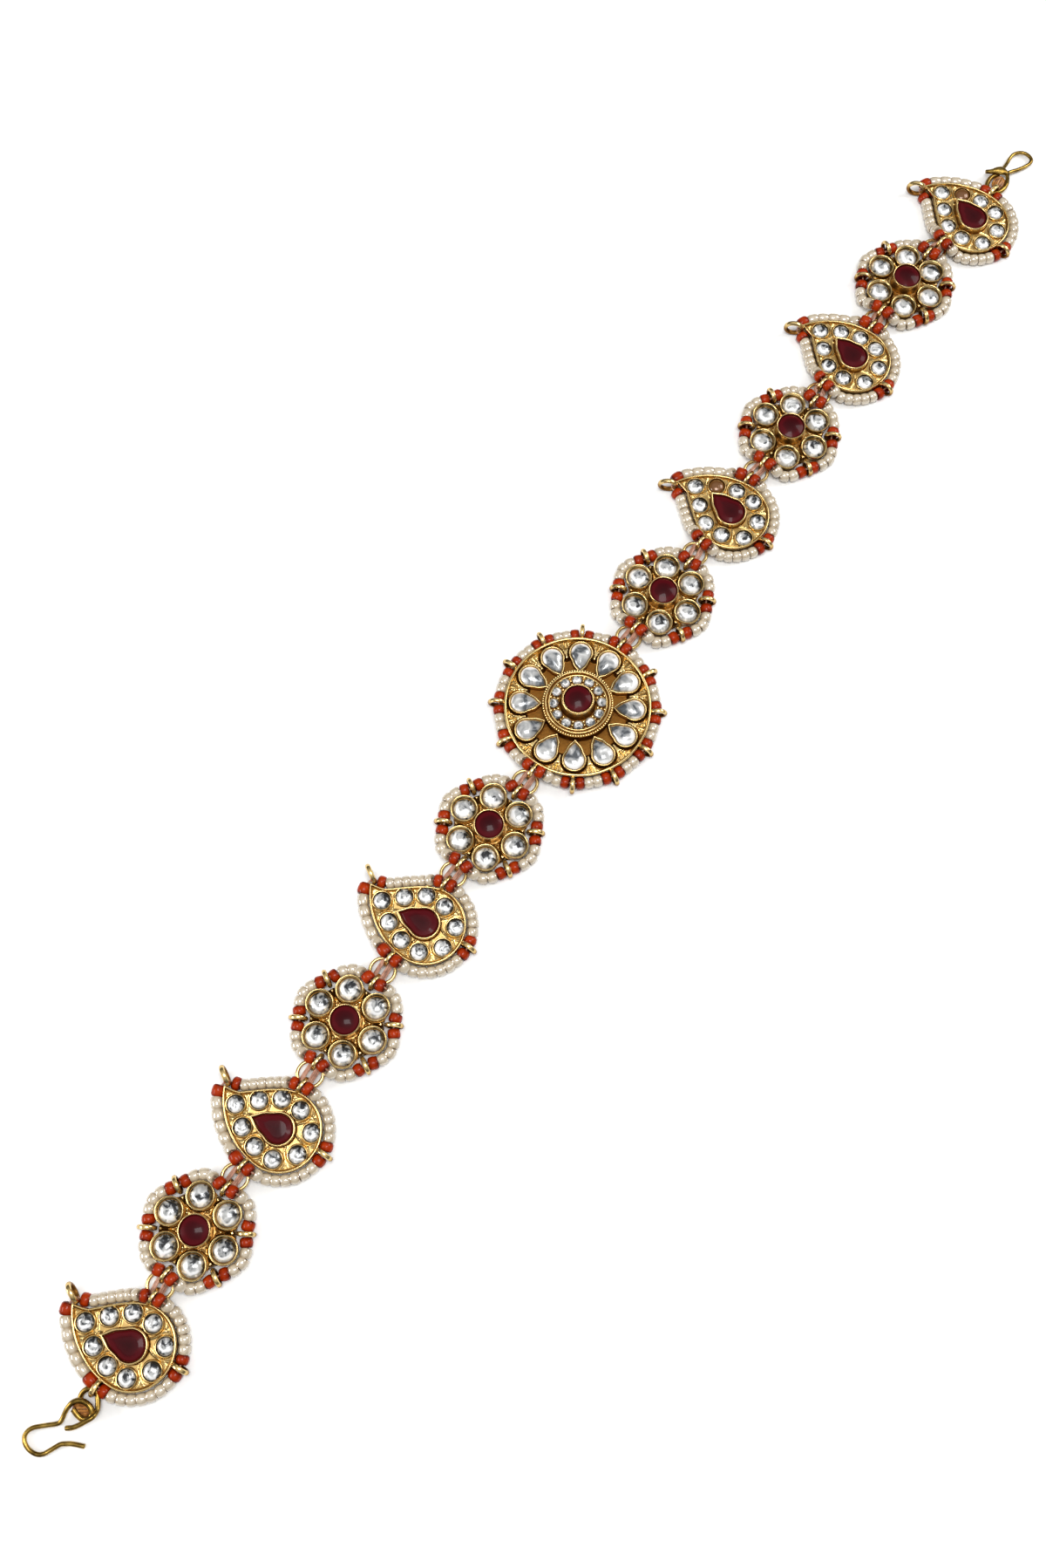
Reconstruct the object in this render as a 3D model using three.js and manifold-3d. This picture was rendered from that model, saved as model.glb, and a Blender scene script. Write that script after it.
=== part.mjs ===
// A matha patti: a straight head chain that lies flat. Seven round plates and six paisley plates,
// all gilt and set with stones, alternate from hook to hook. A string of seed beads runs round
// each plate through its rim loops, and a round jump ring joins each plate to the next.
// Millimetres, +Z up, the plates' flat backs on z = 0, +X along the chain to the far hook.
import * as THREE from "three";
import { mergeVertices } from "three/addons/utils/BufferGeometryUtils.js";
import Module from "manifold-3d";

const wasm = await Module();
wasm.setup();

// Rim loops: upright rings of cast metal at the plates' edges.
const LOOP = { outer: 1.85, hole: 1.27, width: 0.7, height: 1.9, sides: 6 };

// Jump rings lie low in the link loops, under the bead strings.
const RING = { radius: 2.35, wire: 0.3, height: 1.42, segments: 12, sides: 5 };

// Bead strings: the tube is as thick as the beads, and as thin as its thread through a loop.
const BEAD_RADIUS = 1.05;
const THREAD_RADIUS = 0.25;
const STRING = {
  sides: 5,
  beadReach: 0.95, // from a loop's middle plane to the first bead's face
  tipBeadReach: 1.5, // the same at a paisley's tip, where the string turns sharply
  faceDepth: 0.35, // how fast the tube widens from thread to bead
  climbReaches: [1.7, 2.7], // stations where the beads climb over a jump ring
  step: 3,
  overRing: 1.2, // how far the beads climb over a jump ring
  threadOverRing: 0.6,
  climbStart: 1.6,
  climbEnd: 5,
  edgeOffset: 1.45, // from a paisley plate's edge to the string's middle
};

// Flower plates: six round collets round a taller one.
const FLOWER = {
  petals: 6,
  petalCircle: 6,
  collet: 2.65,
  seat: 2.2,
  petalHeight: 2.6,
  petalFloor: 1.5,
  colletSides: 10,
  colletBottom: 0.3,
  baseRadius: 7.45,
  baseHeight: 1,
  reach: 8.8, // from the middle to a loop's hole
  stringAtLoop: 8.75,
  stringAtShoulder: 9.6,
  stringAtPetal: 10.05,
  shoulderAngle: 16,
};
const FLOWER_RUBY = {
  collet: 2.75,
  seat: 2.4,
  top: 4.4,
  floor: 3.1,
  radius: 2.12,
  girdle: 4.3,
  dome: 4.9,
};

// Medallion: twelve pear collets round a raised cup with a ruby in its middle.
const MEDALLION = {
  pears: 12,
  radius: 13.9,
  base: 1.2,
  rimWidth: 0.65,
  rimHeight: 2.0,
  pearCircle: 10.85,
  pearRadius: 2.3,
  pearTip: 4.1,
  pearHeight: 2.6,
  seatRadius: 1.9,
  seatTip: 3.3,
  seatFloor: 1.6,
  sides: 24,
  reach: 15.35,
  stringRadius: 15.3,
};
const CUP = { radius: 6.3, rim: 0.5, height: 4.4, floor: 3.8, sides: 18 };
const CUP_RUBY = {
  collet: 3.15,
  seat: 2.8,
  top: 6.3,
  floor: 5.0,
  radius: 2.5,
  girdle: 6.2,
  dome: 7.0,
};

// Paisley plates, tip up, drawn as they lie on the near half. The far half mirrors them.
const PAISLEY = {
  ground: 1.8,
  rimWidth: 0.55,
  rimHeight: 2.4,
  body: { x: 0.1, y: -1.65, radius: 7.45 },
  tip: { x: 0.55, y: 11.5 },
  neck: { x: 1.1, y: 8.6 },
  tipLoopAngle: 60,
  tipLoopOffset: 1.2,
  footLoopX: 1.35,
  reach: 8.65,
  linkY: 0.1,
};
const PAISLEY_RUBY = {
  x: 0.1,
  y: -1.3,
  turn: 12,
  collet: { radius: 3.05, tip: 5.7 },
  seat: { radius: 2.65, tip: 5.0 },
  stone: { radius: 2.35, tip: 4.4 },
  top: 3.3,
  floor: 2.2,
  stoneBottom: 2.5,
  stoneTop: 3.1,
  crown: 0.45,
};
// The plates in order from the near hook to the far hook: where each lies and its turn in degrees.
const PLATES = [
  { kind: "paisley", name: "paisley_1", x: -140.2, y: -2.9, turn: 4.5 },
  { kind: "flower", name: "flower_1", x: -118.6, y: -1.5, turn: 1.8 },
  { kind: "paisley", name: "paisley_2", x: -96.4, y: -0.9, turn: 0 },
  { kind: "flower", name: "flower_2", x: -74.1, y: -0.5, turn: 2 },
  { kind: "paisley", name: "paisley_3", x: -51.6, y: 0.3, turn: 0 },
  { kind: "flower", name: "flower_3", x: -29.1, y: 0, turn: -1.4 },
  { kind: "medallion", name: "medallion", x: 0, y: 0, turn: 0 },
  { kind: "flower", name: "flower_4", x: 29.2, y: 0, turn: -2.8 },
  { kind: "paisley", name: "paisley_4", x: 51.6, y: 0.1, turn: 0, mirrored: true },
  { kind: "flower", name: "flower_5", x: 73.95, y: -0.8, turn: -2.6 },
  { kind: "paisley", name: "paisley_5", x: 95.7, y: -1.1, turn: -4, mirrored: true },
  { kind: "flower", name: "flower_6", x: 117.4, y: -1.5, turn: -1.9 },
  { kind: "paisley", name: "paisley_6", x: 138.8, y: -4, turn: -8, mirrored: true },
];

// Hooks and the open end ring are bent wire: a radius and the points of the wire's middle.
const WIRE_SIDES = 6;
const NEAR_HOOK = {
  wire: 0.42,
  steps: 38,
  route: [
    [-157.6, -7.7, 0.45],
    [-158.5, -5.2, 0.5],
    [-159.7, -4.0, 0.6],
    [-161.3, -3.2, 0.7],
    [-162.6, -2.2, 0.7],
    [-163.15, -0.7, 0.7],
    [-162.7, 0.9, 0.7],
    [-161.3, 1.75, 0.7],
    [-160.1, 1.2, 0.7],
    [-158.6, -0.5, 0.8],
    [-157.2, -1.8, 1.1],
    [-155.8, -1.75, 1.5],
    [-154.3, -1.35, 1.9],
    [-153.0, -1.6, 2.0],
    [-152.15, -2.8, 1.95],
    [-152.2, -4.2, 1.75],
    [-152.95, -5.2, 1.7],
    [-153.8, -4.9, 1.75],
    [-154.15, -3.8, 1.8],
    [-153.9, -2.7, 1.8],
  ],
};
const NEAR_END_RING = {
  wire: 0.36,
  steps: 22,
  route: [
    [-153.2, -3.3, 1.5],
    [-152.6, -2.3, 0.65],
    [-151.3, -1.95, 0.7],
    [-149.8, -2.3, 1.15],
    [-148.95, -3.45, 1.4],
    [-149.7, -4.7, 1.45],
    [-151.1, -5.5, 2.0],
    [-152.6, -5.95, 2.8],
    [-154.2, -5.4, 2.9],
    [-155.6, -4.5, 2.6],
    [-156.7, -3.3, 2.2],
  ],
};
const FAR_HOOK = {
  wire: 0.4,
  steps: 42,
  route: [
    [151.4, -1.2, 1.9],
    [152.6, -2.6, 1.9],
    [154.0, -3.7, 1.5],
    [155.8, -3.95, 1.0],
    [157.8, -3.9, 0.8],
    [159.4, -4.5, 0.8],
    [160.3, -5.6, 0.8],
    [160.25, -6.8, 0.8],
    [159.2, -7.6, 0.8],
    [157.8, -7.6, 0.8],
    [156.1, -6.8, 0.85],
    [154.7, -5.9, 1.0],
    [153.4, -5.7, 1.1],
    [152.1, -6.2, 1.2],
    [150.5, -6.7, 1.3],
    [149.0, -6.6, 1.35],
    [147.75, -6.0, 1.38],
    [147.35, -5.1, 1.4],
    [148.0, -4.1, 1.35],
    [149.2, -3.4, 1.2],
    [150.8, -3.1, 0.95],
    [152.3, -3.6, 0.8],
  ],
};

const UP = new THREE.Vector3(0, 0, 1);
const GILT = new THREE.MeshStandardMaterial({ color: "#c9962f", metalness: 1, roughness: 0.25 });
const OLD_WIRE = new THREE.MeshStandardMaterial({ color: "#8f7434", metalness: 1, roughness: 0.35 });
const BEADS = new THREE.MeshStandardMaterial({ color: "#d3c6b6", metalness: 0, roughness: 0.25 });
const RUBY = new THREE.MeshStandardMaterial({ color: "#560a1a", metalness: 0, roughness: 0.05 });

// Closed geometry to solid: only positions count, shared corners are merged and slivers dropped.
function solid(geometry) {
  geometry.deleteAttribute("normal");
  geometry.deleteAttribute("uv");
  const merged = mergeVertices(geometry, 1e-4);
  const corners = merged.index.array;
  const triVerts = [];
  for (let i = 0; i < corners.length; i += 3) {
    const [a, b, c] = corners.slice(i, i + 3);
    if (a !== b && b !== c && c !== a) {
      triVerts.push(a, b, c);
    }
  }
  const vertProperties = merged.attributes.position.array;
  const mesh = new wasm.Mesh({ numProp: 3, vertProperties, triVerts: new Uint32Array(triVerts) });
  return new wasm.Manifold(mesh);
}

function joined(solids) {
  return solids.reduce((whole, piece) => whole.add(piece));
}

// Solid back to a named three.js mesh.
function namedMesh(name, body, material) {
  const { numProp, vertProperties, triVerts } = body.getMesh();
  const geometry = new THREE.BufferGeometry();
  const corners = new THREE.InterleavedBuffer(vertProperties, numProp);
  geometry.setAttribute("position", new THREE.InterleavedBufferAttribute(corners, 3, 0));
  geometry.setIndex(new THREE.BufferAttribute(triVerts, 1));
  const mesh = new THREE.Mesh(geometry, material);
  mesh.name = name;
  return mesh;
}

// An outline extruded straight up from one height to another.
function slab(shape, bottom, top, curveSegments) {
  const settings = { depth: top - bottom, bevelEnabled: false, curveSegments };
  return solid(new THREE.ExtrudeGeometry(shape, settings).translate(0, 0, bottom));
}

function drum(radius, bottom, top, sides, x = 0, y = 0) {
  const geometry = new THREE.CylinderGeometry(radius, radius, top - bottom, sides);
  geometry.rotateX(Math.PI / 2);
  return solid(geometry.translate(x, y, (top + bottom) / 2));
}

// A turned piece from the radii and heights of its profile, which starts and ends on the axis.
function turned(profile, sides) {
  const points = profile.map(([radius, height]) => new THREE.Vector2(radius, height));
  return solid(new THREE.LatheGeometry(points, sides).rotateX(Math.PI / 2));
}

// A pear: a circle about the origin and the two tangents that meet at its tip on +Y.
function pear({ radius, tip }) {
  const spread = Math.acos(radius / tip);
  const shape = new THREE.Shape();
  shape.absarc(0, 0, radius, Math.PI / 2 + spread, 2.5 * Math.PI - spread, false);
  shape.lineTo(0, tip);
  return shape;
}

function polygon(sides, radius, turn) {
  return Array.from({ length: sides }, (_, i) => {
    const angle = turn + (i / sides) * 2 * Math.PI;
    return new THREE.Vector2(radius * Math.cos(angle), radius * Math.sin(angle));
  });
}

// An upright rim loop with its hole over (x, y), facing across the direction it points in.
function rimLoop({ x, y, angle }) {
  const shape = new THREE.Shape(polygon(LOOP.sides, LOOP.outer, Math.PI / 2));
  shape.holes.push(new THREE.Path(polygon(LOOP.sides, LOOP.hole, Math.PI / 2)));
  const ring = new THREE.ExtrudeGeometry(shape, { depth: LOOP.width, bevelEnabled: false });
  ring.translate(0, 0, -LOOP.width / 2).rotateX(Math.PI / 2);
  ring.rotateZ(angle).translate(x, y, LOOP.height);
  return solid(ring);
}

// Loops evenly round a plate; the two on the chain's line are its links.
function loopsRound(count, reach) {
  return Array.from({ length: count }, (_, i) => {
    const angle = (i / count) * 2 * Math.PI;
    const link = i === 0 || i === count / 2;
    return { x: reach * Math.cos(angle), y: reach * Math.sin(angle), angle, link };
  });
}

function ruby({ floor, radius, girdle, dome }, sides) {
  const bottom = floor + 0.3;
  const table = 0.6 * radius;
  return turned([[0, bottom], [radius, bottom], [radius, girdle], [table, dome], [0, dome]], sides);
}

function raisedCollet({ collet, seat, top, floor }, sides) {
  return turned([[0, 0], [collet, 0], [collet, top], [seat, top], [seat, floor], [0, floor]], sides);
}

function flowerPlate(loops) {
  const petals = loopsRound(FLOWER.petals, FLOWER.petalCircle);
  const turn = Math.PI / FLOWER.petals;
  const at = petals.map(({ angle }) => [Math.cos(angle + turn), Math.sin(angle + turn)]);
  const r = FLOWER.petalCircle;
  const sides = FLOWER.colletSides;
  const collets = at.map(([x, y]) => {
    return drum(FLOWER.collet, FLOWER.colletBottom, FLOWER.petalHeight, sides, r * x, r * y);
  });
  const seats = at.map(([x, y]) => drum(FLOWER.seat, FLOWER.petalFloor, 3, sides, r * x, r * y));
  const base = drum(FLOWER.baseRadius, 0, FLOWER.baseHeight, 12);
  const centre = raisedCollet(FLOWER_RUBY, 12);
  const metal = joined([base, ...collets, ...loops.map(rimLoop)]).subtract(joined(seats));
  return metal.add(centre);
}

function medallionPlate(loops) {
  const m = MEDALLION;
  const inner = m.radius - m.rimWidth;
  const dish = turned(
    [
      [0, 0],
      [m.radius, 0],
      [m.radius, m.rimHeight],
      [inner, m.rimHeight],
      [inner, m.base],
      [0, m.base],
    ],
    m.sides,
  );
  const c = CUP;
  const bowl = c.radius - c.rim;
  const cup = turned(
    [[0, 0], [c.radius, 0], [c.radius, c.height], [bowl, c.height], [bowl, c.floor], [0, c.floor]],
    c.sides,
  );
  const placed = (shape, bottom, top, angle) =>
    slab(shape, bottom, top, 3).rotate([0, 0, 90 + (angle * 180) / Math.PI])
      .translate([m.pearCircle * Math.cos(angle), m.pearCircle * Math.sin(angle), 0]);
  const outer = pear({ radius: m.pearRadius, tip: m.pearTip });
  const seat = pear({ radius: m.seatRadius, tip: m.seatTip });
  const collets = loops.map(({ angle }) => placed(outer, 0.5, m.pearHeight, angle));
  const seats = loops.map(({ angle }) => placed(seat, m.seatFloor, 3, angle));
  const metal = joined([dish, ...collets, ...loops.map(rimLoop)]).subtract(joined(seats));
  return joined([metal, cup, raisedCollet(CUP_RUBY, 16)]);
}

// A paisley's outline: a long bow from the tip down the left, round the foot, and up the right
// to a narrow neck that leans into the tip.
function paisleyOutline() {
  const { body, tip, neck } = PAISLEY;
  const shape = new THREE.Shape();
  shape.moveTo(tip.x, tip.y);
  shape.bezierCurveTo(-3.5, 9.6, body.x - body.radius, 4.5, body.x - body.radius, body.y);
  shape.absarc(body.x, body.y, body.radius, Math.PI, 2 * Math.PI, false);
  shape.bezierCurveTo(body.x + body.radius, 2.2, 3.6, 5.8, neck.x, neck.y);
  shape.quadraticCurveTo(0.6, 9.8, tip.x, tip.y);
  return shape;
}

function distanceToOutline(point, outline) {
  const gaps = outline.map((start, i) => {
    const edge = outline[(i + 1) % outline.length].clone().sub(start);
    const along = THREE.MathUtils.clamp(point.clone().sub(start).dot(edge) / edge.lengthSq(), 0, 1);
    return point.distanceTo(start.clone().addScaledVector(edge, along));
  });
  return Math.min(...gaps);
}

// Each corner of a closed outline moved out by a distance, square to the two edges' mean. Corners
// that would cross over at a sharp bend are left out.
function offsetOutline(points, distance) {
  const moved = points.map((point, i) => {
    const before = points[(i + points.length - 1) % points.length];
    const after = points[(i + 1) % points.length];
    const into = point.clone().sub(before).normalize();
    const out = after.clone().sub(point).normalize();
    const mean = into.clone().add(out).normalize();
    const mitre = distance / Math.max(mean.dot(into), 0.5);
    return new THREE.Vector2(point.x + mean.y * mitre, point.y - mean.x * mitre);
  });
  return moved.filter((point) => distanceToOutline(point, points) > 0.97 * Math.abs(distance));
}

function paisleyLoops() {
  const { tip, tipLoopAngle, tipLoopOffset, footLoopX, reach, linkY, body } = PAISLEY;
  const lean = THREE.MathUtils.degToRad(tipLoopAngle);
  const out = STRING.edgeOffset;
  return [
    {
      x: tip.x + tipLoopOffset * Math.cos(lean),
      y: tip.y + tipLoopOffset * Math.sin(lean),
      angle: lean,
      tip: true,
    },
    { x: -reach, y: linkY, angle: Math.PI, link: true },
    { x: footLoopX, y: body.y - body.radius + 0.1 - out, angle: -Math.PI / 2 },
    { x: reach, y: linkY, angle: 0, link: true },
  ];
}

function ringPoints(shape, segments) {
  const points = shape.getPoints(segments);
  return points[0].distanceTo(points[points.length - 1]) < 1e-6 ? points.slice(0, -1) : points;
}

function paisleyPlate(loops) {
  const p = PAISLEY;
  const edge = ringPoints(paisleyOutline(), 5);
  const inside = new THREE.Shape(offsetOutline(edge, -p.rimWidth));
  const r = PAISLEY_RUBY;
  const placed = (shape, bottom, top) =>
    slab(shape, bottom, top, 4).rotate([0, 0, r.turn]).translate([r.x, r.y, 0]);
  const plate = slab(new THREE.Shape(edge), 0, p.rimHeight).subtract(slab(inside, p.ground, 3));
  const collet = placed(pear(r.collet), 0.5, r.top).subtract(placed(pear(r.seat), r.floor, 4));
  return joined([plate, collet, ...loops.map(rimLoop)]);
}

function paisleyRuby() {
  const r = PAISLEY_RUBY;
  const shape = pear(r.stone);
  const settings = { depth: r.stoneTop - r.stoneBottom, curveSegments: 4, bevelSegments: 1 };
  const crown = { bevelThickness: r.crown, bevelSize: r.crown, bevelOffset: -r.crown };
  const stone = new THREE.ExtrudeGeometry(shape, { ...settings, ...crown, bevelEnabled: true });
  stone.translate(0, 0, r.stoneBottom + r.crown);
  return solid(stone).rotate([0, 0, r.turn]).translate([r.x, r.y, 0]);
}

// The plan route of a string round an even plate, through a point for each given angle and radius
// after every loop.
function roundRoute(count, stops) {
  const points = [];
  for (let i = 0; i < count; i++) {
    for (const [degrees, radius] of stops) {
      const angle = (i / count) * 2 * Math.PI + THREE.MathUtils.degToRad(degrees);
      points.push(new THREE.Vector3(radius * Math.cos(angle), radius * Math.sin(angle), 0));
    }
  }
  return new THREE.CatmullRomCurve3(points, true);
}

function flowerRoute() {
  const f = FLOWER;
  const pitch = 360 / f.petals;
  const shoulder = f.shoulderAngle;
  return roundRoute(f.petals, [
    [0, f.stringAtLoop],
    [shoulder, f.stringAtShoulder],
    [pitch / 2, f.stringAtPetal],
    [pitch - shoulder, f.stringAtShoulder],
  ]);
}

function paisleyRoute(loops) {
  const edge = ringPoints(paisleyOutline(), 6);
  const wide = offsetOutline(edge, STRING.edgeOffset);
  wide[0].set(loops[0].x, loops[0].y);
  return new THREE.CatmullRomCurve3(wide.map(({ x, y }) => new THREE.Vector3(x, y, 0)), true);
}

// Where along a string's route it passes each loop, in order, as fractions of its length.
function loopPlaces(route, loops) {
  const samples = 720;
  const points = route.getSpacedPoints(samples);
  const places = loops.map(({ x, y, link, tip }) => {
    const hole = new THREE.Vector3(x, y, 0);
    const gaps = points.map((point) => point.distanceTo(hole));
    const at = gaps.indexOf(Math.min(...gaps)) / samples;
    return { at, link, beadReach: tip ? STRING.tipBeadReach : STRING.beadReach };
  });
  return places.sort((a, b) => a.at - b.at);
}

// The stations of a string between two loops: thread at both ends, beads between, which climb
// over the jump ring beside a link loop.
function stringStations(route, from, to) {
  const length = route.getLength();
  const span = ((to.at - from.at + 1) % 1 || 1) * length;
  const s = STRING;
  const endReaches = ({ beadReach, link }) => {
    return [beadReach - s.faceDepth, beadReach, ...(link ? s.climbReaches : [])];
  };
  const head = endReaches(from);
  const tail = endReaches(to).map((reach) => span - reach).reverse();
  const start = head[head.length - 1];
  const middle = tail[0] - start;
  const count = Math.max(1, Math.round(middle / s.step) - 1);
  const between = Array.from({ length: count }, (_, i) => start + (middle * (i + 1)) / (count + 1));
  const reaches = [...head, ...between, ...tail];
  return reaches.map((reach) => {
    const point = route.getPointAt((from.at + reach / length) % 1);
    const thread = reach < from.beadReach - 1e-6 || span - reach < to.beadReach - 1e-6;
    const fromLink = Math.min(from.link ? reach : Infinity, to.link ? span - reach : Infinity);
    const level = THREE.MathUtils.smoothstep(fromLink, s.climbStart, s.climbEnd);
    const climb = fromLink === Infinity ? 0 : 1 - level;
    point.z = LOOP.height + climb * (thread ? s.threadOverRing : s.overRing);
    return { point, radius: thread ? THREAD_RADIUS : BEAD_RADIUS };
  });
}

// A closed tube through stations that each have their own radius, with a flat ring of corners
// across the route at each.
function closedTube(stations, sides) {
  const positions = [];
  const index = [];
  const count = stations.length;
  stations.forEach(({ point, radius }, i) => {
    const before = stations[(i + count - 1) % count].point;
    const after = stations[(i + 1) % count].point;
    const along = after.clone().sub(before).setZ(0).normalize();
    const side = along.clone().cross(UP);
    for (let k = 0; k < sides; k++) {
      const angle = (k / sides) * 2 * Math.PI;
      const corner = point.clone().addScaledVector(side, radius * Math.cos(angle));
      corner.addScaledVector(UP, radius * Math.sin(angle));
      positions.push(corner.x, corner.y, corner.z);
      const a = i * sides + k;
      const b = i * sides + ((k + 1) % sides);
      const ahead = ((i + 1) % count) * sides;
      const c = ahead + k;
      const d = ahead + ((k + 1) % sides);
      index.push(a, c, b, b, c, d);
    }
  });
  const geometry = new THREE.BufferGeometry();
  geometry.setAttribute("position", new THREE.Float32BufferAttribute(positions, 3));
  geometry.setIndex(index);
  return geometry;
}

function beadString(route, loops) {
  const places = loopPlaces(route, loops);
  const stations = places.flatMap((from, i) => {
    return stringStations(route, from, places[(i + 1) % places.length]);
  });
  return solid(closedTube(stations, STRING.sides));
}

function bentWire({ wire, steps, route }) {
  const path = new THREE.CatmullRomCurve3(route.map((point) => new THREE.Vector3(...point)));
  const section = new THREE.Shape(polygon(WIRE_SIDES, wire, 0));
  return solid(new THREE.ExtrudeGeometry(section, { steps, extrudePath: path }));
}

const BUILDERS = {
  flower: () => {
    const loops = loopsRound(FLOWER.petals, FLOWER.reach);
    const string = beadString(flowerRoute(), loops);
    return { plate: flowerPlate(loops), stone: ruby(FLOWER_RUBY, 12), string };
  },
  medallion: () => {
    const m = MEDALLION;
    const loops = loopsRound(m.pears, m.reach);
    const route = roundRoute(m.pears, [[0, m.stringRadius], [180 / m.pears, m.stringRadius]]);
    const string = beadString(route, loops);
    return { plate: medallionPlate(loops), stone: ruby(CUP_RUBY, 16), string };
  },
  paisley: () => {
    const loops = paisleyLoops();
    const string = beadString(paisleyRoute(loops), loops);
    return { plate: paisleyPlate(loops), stone: paisleyRuby(), string };
  },
};
const REACHES = {
  flower: [FLOWER.reach, 0],
  medallion: [MEDALLION.reach, 0],
  paisley: [PAISLEY.reach, PAISLEY.linkY],
};

const chain = new THREE.Group();
const built = Object.fromEntries(Object.keys(BUILDERS).map((kind) => [kind, BUILDERS[kind]()]));
const plates = PLATES.map(({ kind, name, x, y, turn, mirrored }) => {
  const group = new THREE.Group();
  group.position.set(x, y, 0);
  group.rotation.z = THREE.MathUtils.degToRad(turn);
  group.scale.x = mirrored ? -1 : 1;
  const { plate, stone, string } = built[kind];
  group.add(namedMesh(name, plate, GILT));
  group.add(namedMesh(name + "_ruby", stone, RUBY));
  group.add(namedMesh(name + "_bead_string", string, BEADS));
  group.updateMatrixWorld(true);
  chain.add(group);
  const [reach, level] = REACHES[kind];
  const holes = [-reach, reach].map((side) => group.localToWorld(new THREE.Vector3(side, level, 0)));
  return holes.sort((a, b) => a.x - b.x);
});

plates.slice(1).forEach(([near], i) => {
  const far = plates[i][1];
  const ring = new THREE.TorusGeometry(RING.radius, RING.wire, RING.sides, RING.segments);
  ring.rotateZ(Math.atan2(near.y - far.y, near.x - far.x));
  ring.translate((near.x + far.x) / 2, (near.y + far.y) / 2, RING.height);
  chain.add(namedMesh("jump_ring_" + (i + 1), solid(ring), GILT));
});

chain.add(namedMesh("near_hook", bentWire(NEAR_HOOK), OLD_WIRE));
chain.add(namedMesh("near_end_ring", bentWire(NEAR_END_RING), OLD_WIRE));
chain.add(namedMesh("far_hook", bentWire(FAR_HOOK), OLD_WIRE));

// The part's origin is under the middle of its whole box.
const box = new THREE.Box3().setFromObject(chain, true);
const middle = box.getCenter(new THREE.Vector3());
chain.position.set(-middle.x, -middle.y, -box.min.z);

const mathaPatti = new THREE.Group();
mathaPatti.add(chain);
export default mathaPatti;
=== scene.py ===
"""Looks of a matha patti, a head chain of gilt plates that lies flat on a pale table.

Every piece is a surface worked out in millimetres and put into its mesh in metres. Plates are
drawn about their own middle, with +Y to the chain's tip side, and then laid in their places.
"""

import math
from typing import NamedTuple

import bpy
import numpy as np
from bpy.props import FloatProperty, FloatVectorProperty, PointerProperty
from mathutils import Matrix, Vector


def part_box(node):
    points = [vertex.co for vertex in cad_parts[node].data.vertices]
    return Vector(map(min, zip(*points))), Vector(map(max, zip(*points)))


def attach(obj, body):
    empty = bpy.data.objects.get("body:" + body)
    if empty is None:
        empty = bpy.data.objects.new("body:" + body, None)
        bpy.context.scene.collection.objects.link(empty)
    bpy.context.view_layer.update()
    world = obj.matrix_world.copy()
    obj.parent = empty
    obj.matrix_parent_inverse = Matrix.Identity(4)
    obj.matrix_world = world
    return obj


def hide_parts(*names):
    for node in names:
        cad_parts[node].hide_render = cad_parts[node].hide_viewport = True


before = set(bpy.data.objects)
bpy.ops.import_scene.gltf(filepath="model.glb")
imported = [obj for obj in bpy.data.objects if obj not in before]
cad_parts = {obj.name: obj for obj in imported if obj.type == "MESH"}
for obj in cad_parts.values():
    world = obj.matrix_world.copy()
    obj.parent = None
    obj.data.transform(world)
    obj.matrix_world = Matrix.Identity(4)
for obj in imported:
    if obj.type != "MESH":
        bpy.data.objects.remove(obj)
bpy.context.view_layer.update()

bl_info = {
    "name": "Matha patti",
    "version": (1, 0, 0),
    "blender": (4, 5, 0),
    "location": "View3D > Sidebar > Matha patti",
    "description": "Builds the gilt plates, stones, beads, rings and hooks of a head chain",
    "category": "Add Mesh",
}

MM = 0.001
TURN = 2 * math.pi
UP = np.array([0.0, 0.0, 1.0])
BODY = "root"

# Places along the chain are measured from the medallion's middle, which lies here.
MEDALLION_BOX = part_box("medallion")
CHAIN_ORIGIN = np.array([(MEDALLION_BOX[0].x + MEDALLION_BOX[1].x) / 2 / MM, 0.0, 0.0])


class Plate(NamedTuple):
    """Where a plate lies in the chain, in millimetres and degrees, and whether it is mirrored."""

    name: str
    x: float
    y: float
    turn: float
    mirrored: bool = False


PAISLEY_PLATES = [
    Plate("paisley_1", -140.1, -2.8, 4.5),
    Plate("paisley_2", -96.4, -0.9, 0),
    Plate("paisley_3", -51.3, 0.2, 0),
    Plate("paisley_4", 51.6, 0.1, 0, True),
    Plate("paisley_5", 95.7, -1.1, -4, True),
    Plate("paisley_6", 138.6, -4, -8, True),
]
FLOWER_PLATES = [
    Plate("flower_1", -118.5, -1.15, 1.8),
    Plate("flower_2", -74.0, -0.25, 1),
    Plate("flower_3", -29.1, 0, -1.4),
    Plate("flower_4", 29.2, 0, -2.8),
    Plate("flower_5", 73.95, -0.8, -2.6),
    Plate("flower_6", 117.4, -1.5, -1.9),
]
MEDALLION_PLATE = Plate("medallion", 0.15, 0.2, 1.5)
PLATES = [*PAISLEY_PLATES, *FLOWER_PLATES, MEDALLION_PLATE]

# Rim loops stand on edge; the beads' thread and the jump rings run through them.
LOOP_RADIUS = 1.46
LOOP_WIRE = 0.37
LOOP_HEIGHT = 1.9

# How far from a plate's middle its loops stand, and the circles that its collets stand on.
FLOWER_REACH = 8.8
PETAL_COUNT = 6
PETAL_CIRCLE = 6.0
PETAL_START = math.pi / PETAL_COUNT
PAISLEY_REACH = 8.65
PAISLEY_REACH_LEVEL = 0.1
MEDALLION_REACH = 15.55
PEAR_COUNT = 12
PEAR_CIRCLE = 10.95
RHINESTONE_COUNT = 12
RHINESTONE_CIRCLE = 4.62
RHINESTONE_START = math.radians(5)
MILLING_CIRCLE = 6.64
FINE_GRAIN_CIRCLE = 2.86

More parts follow.
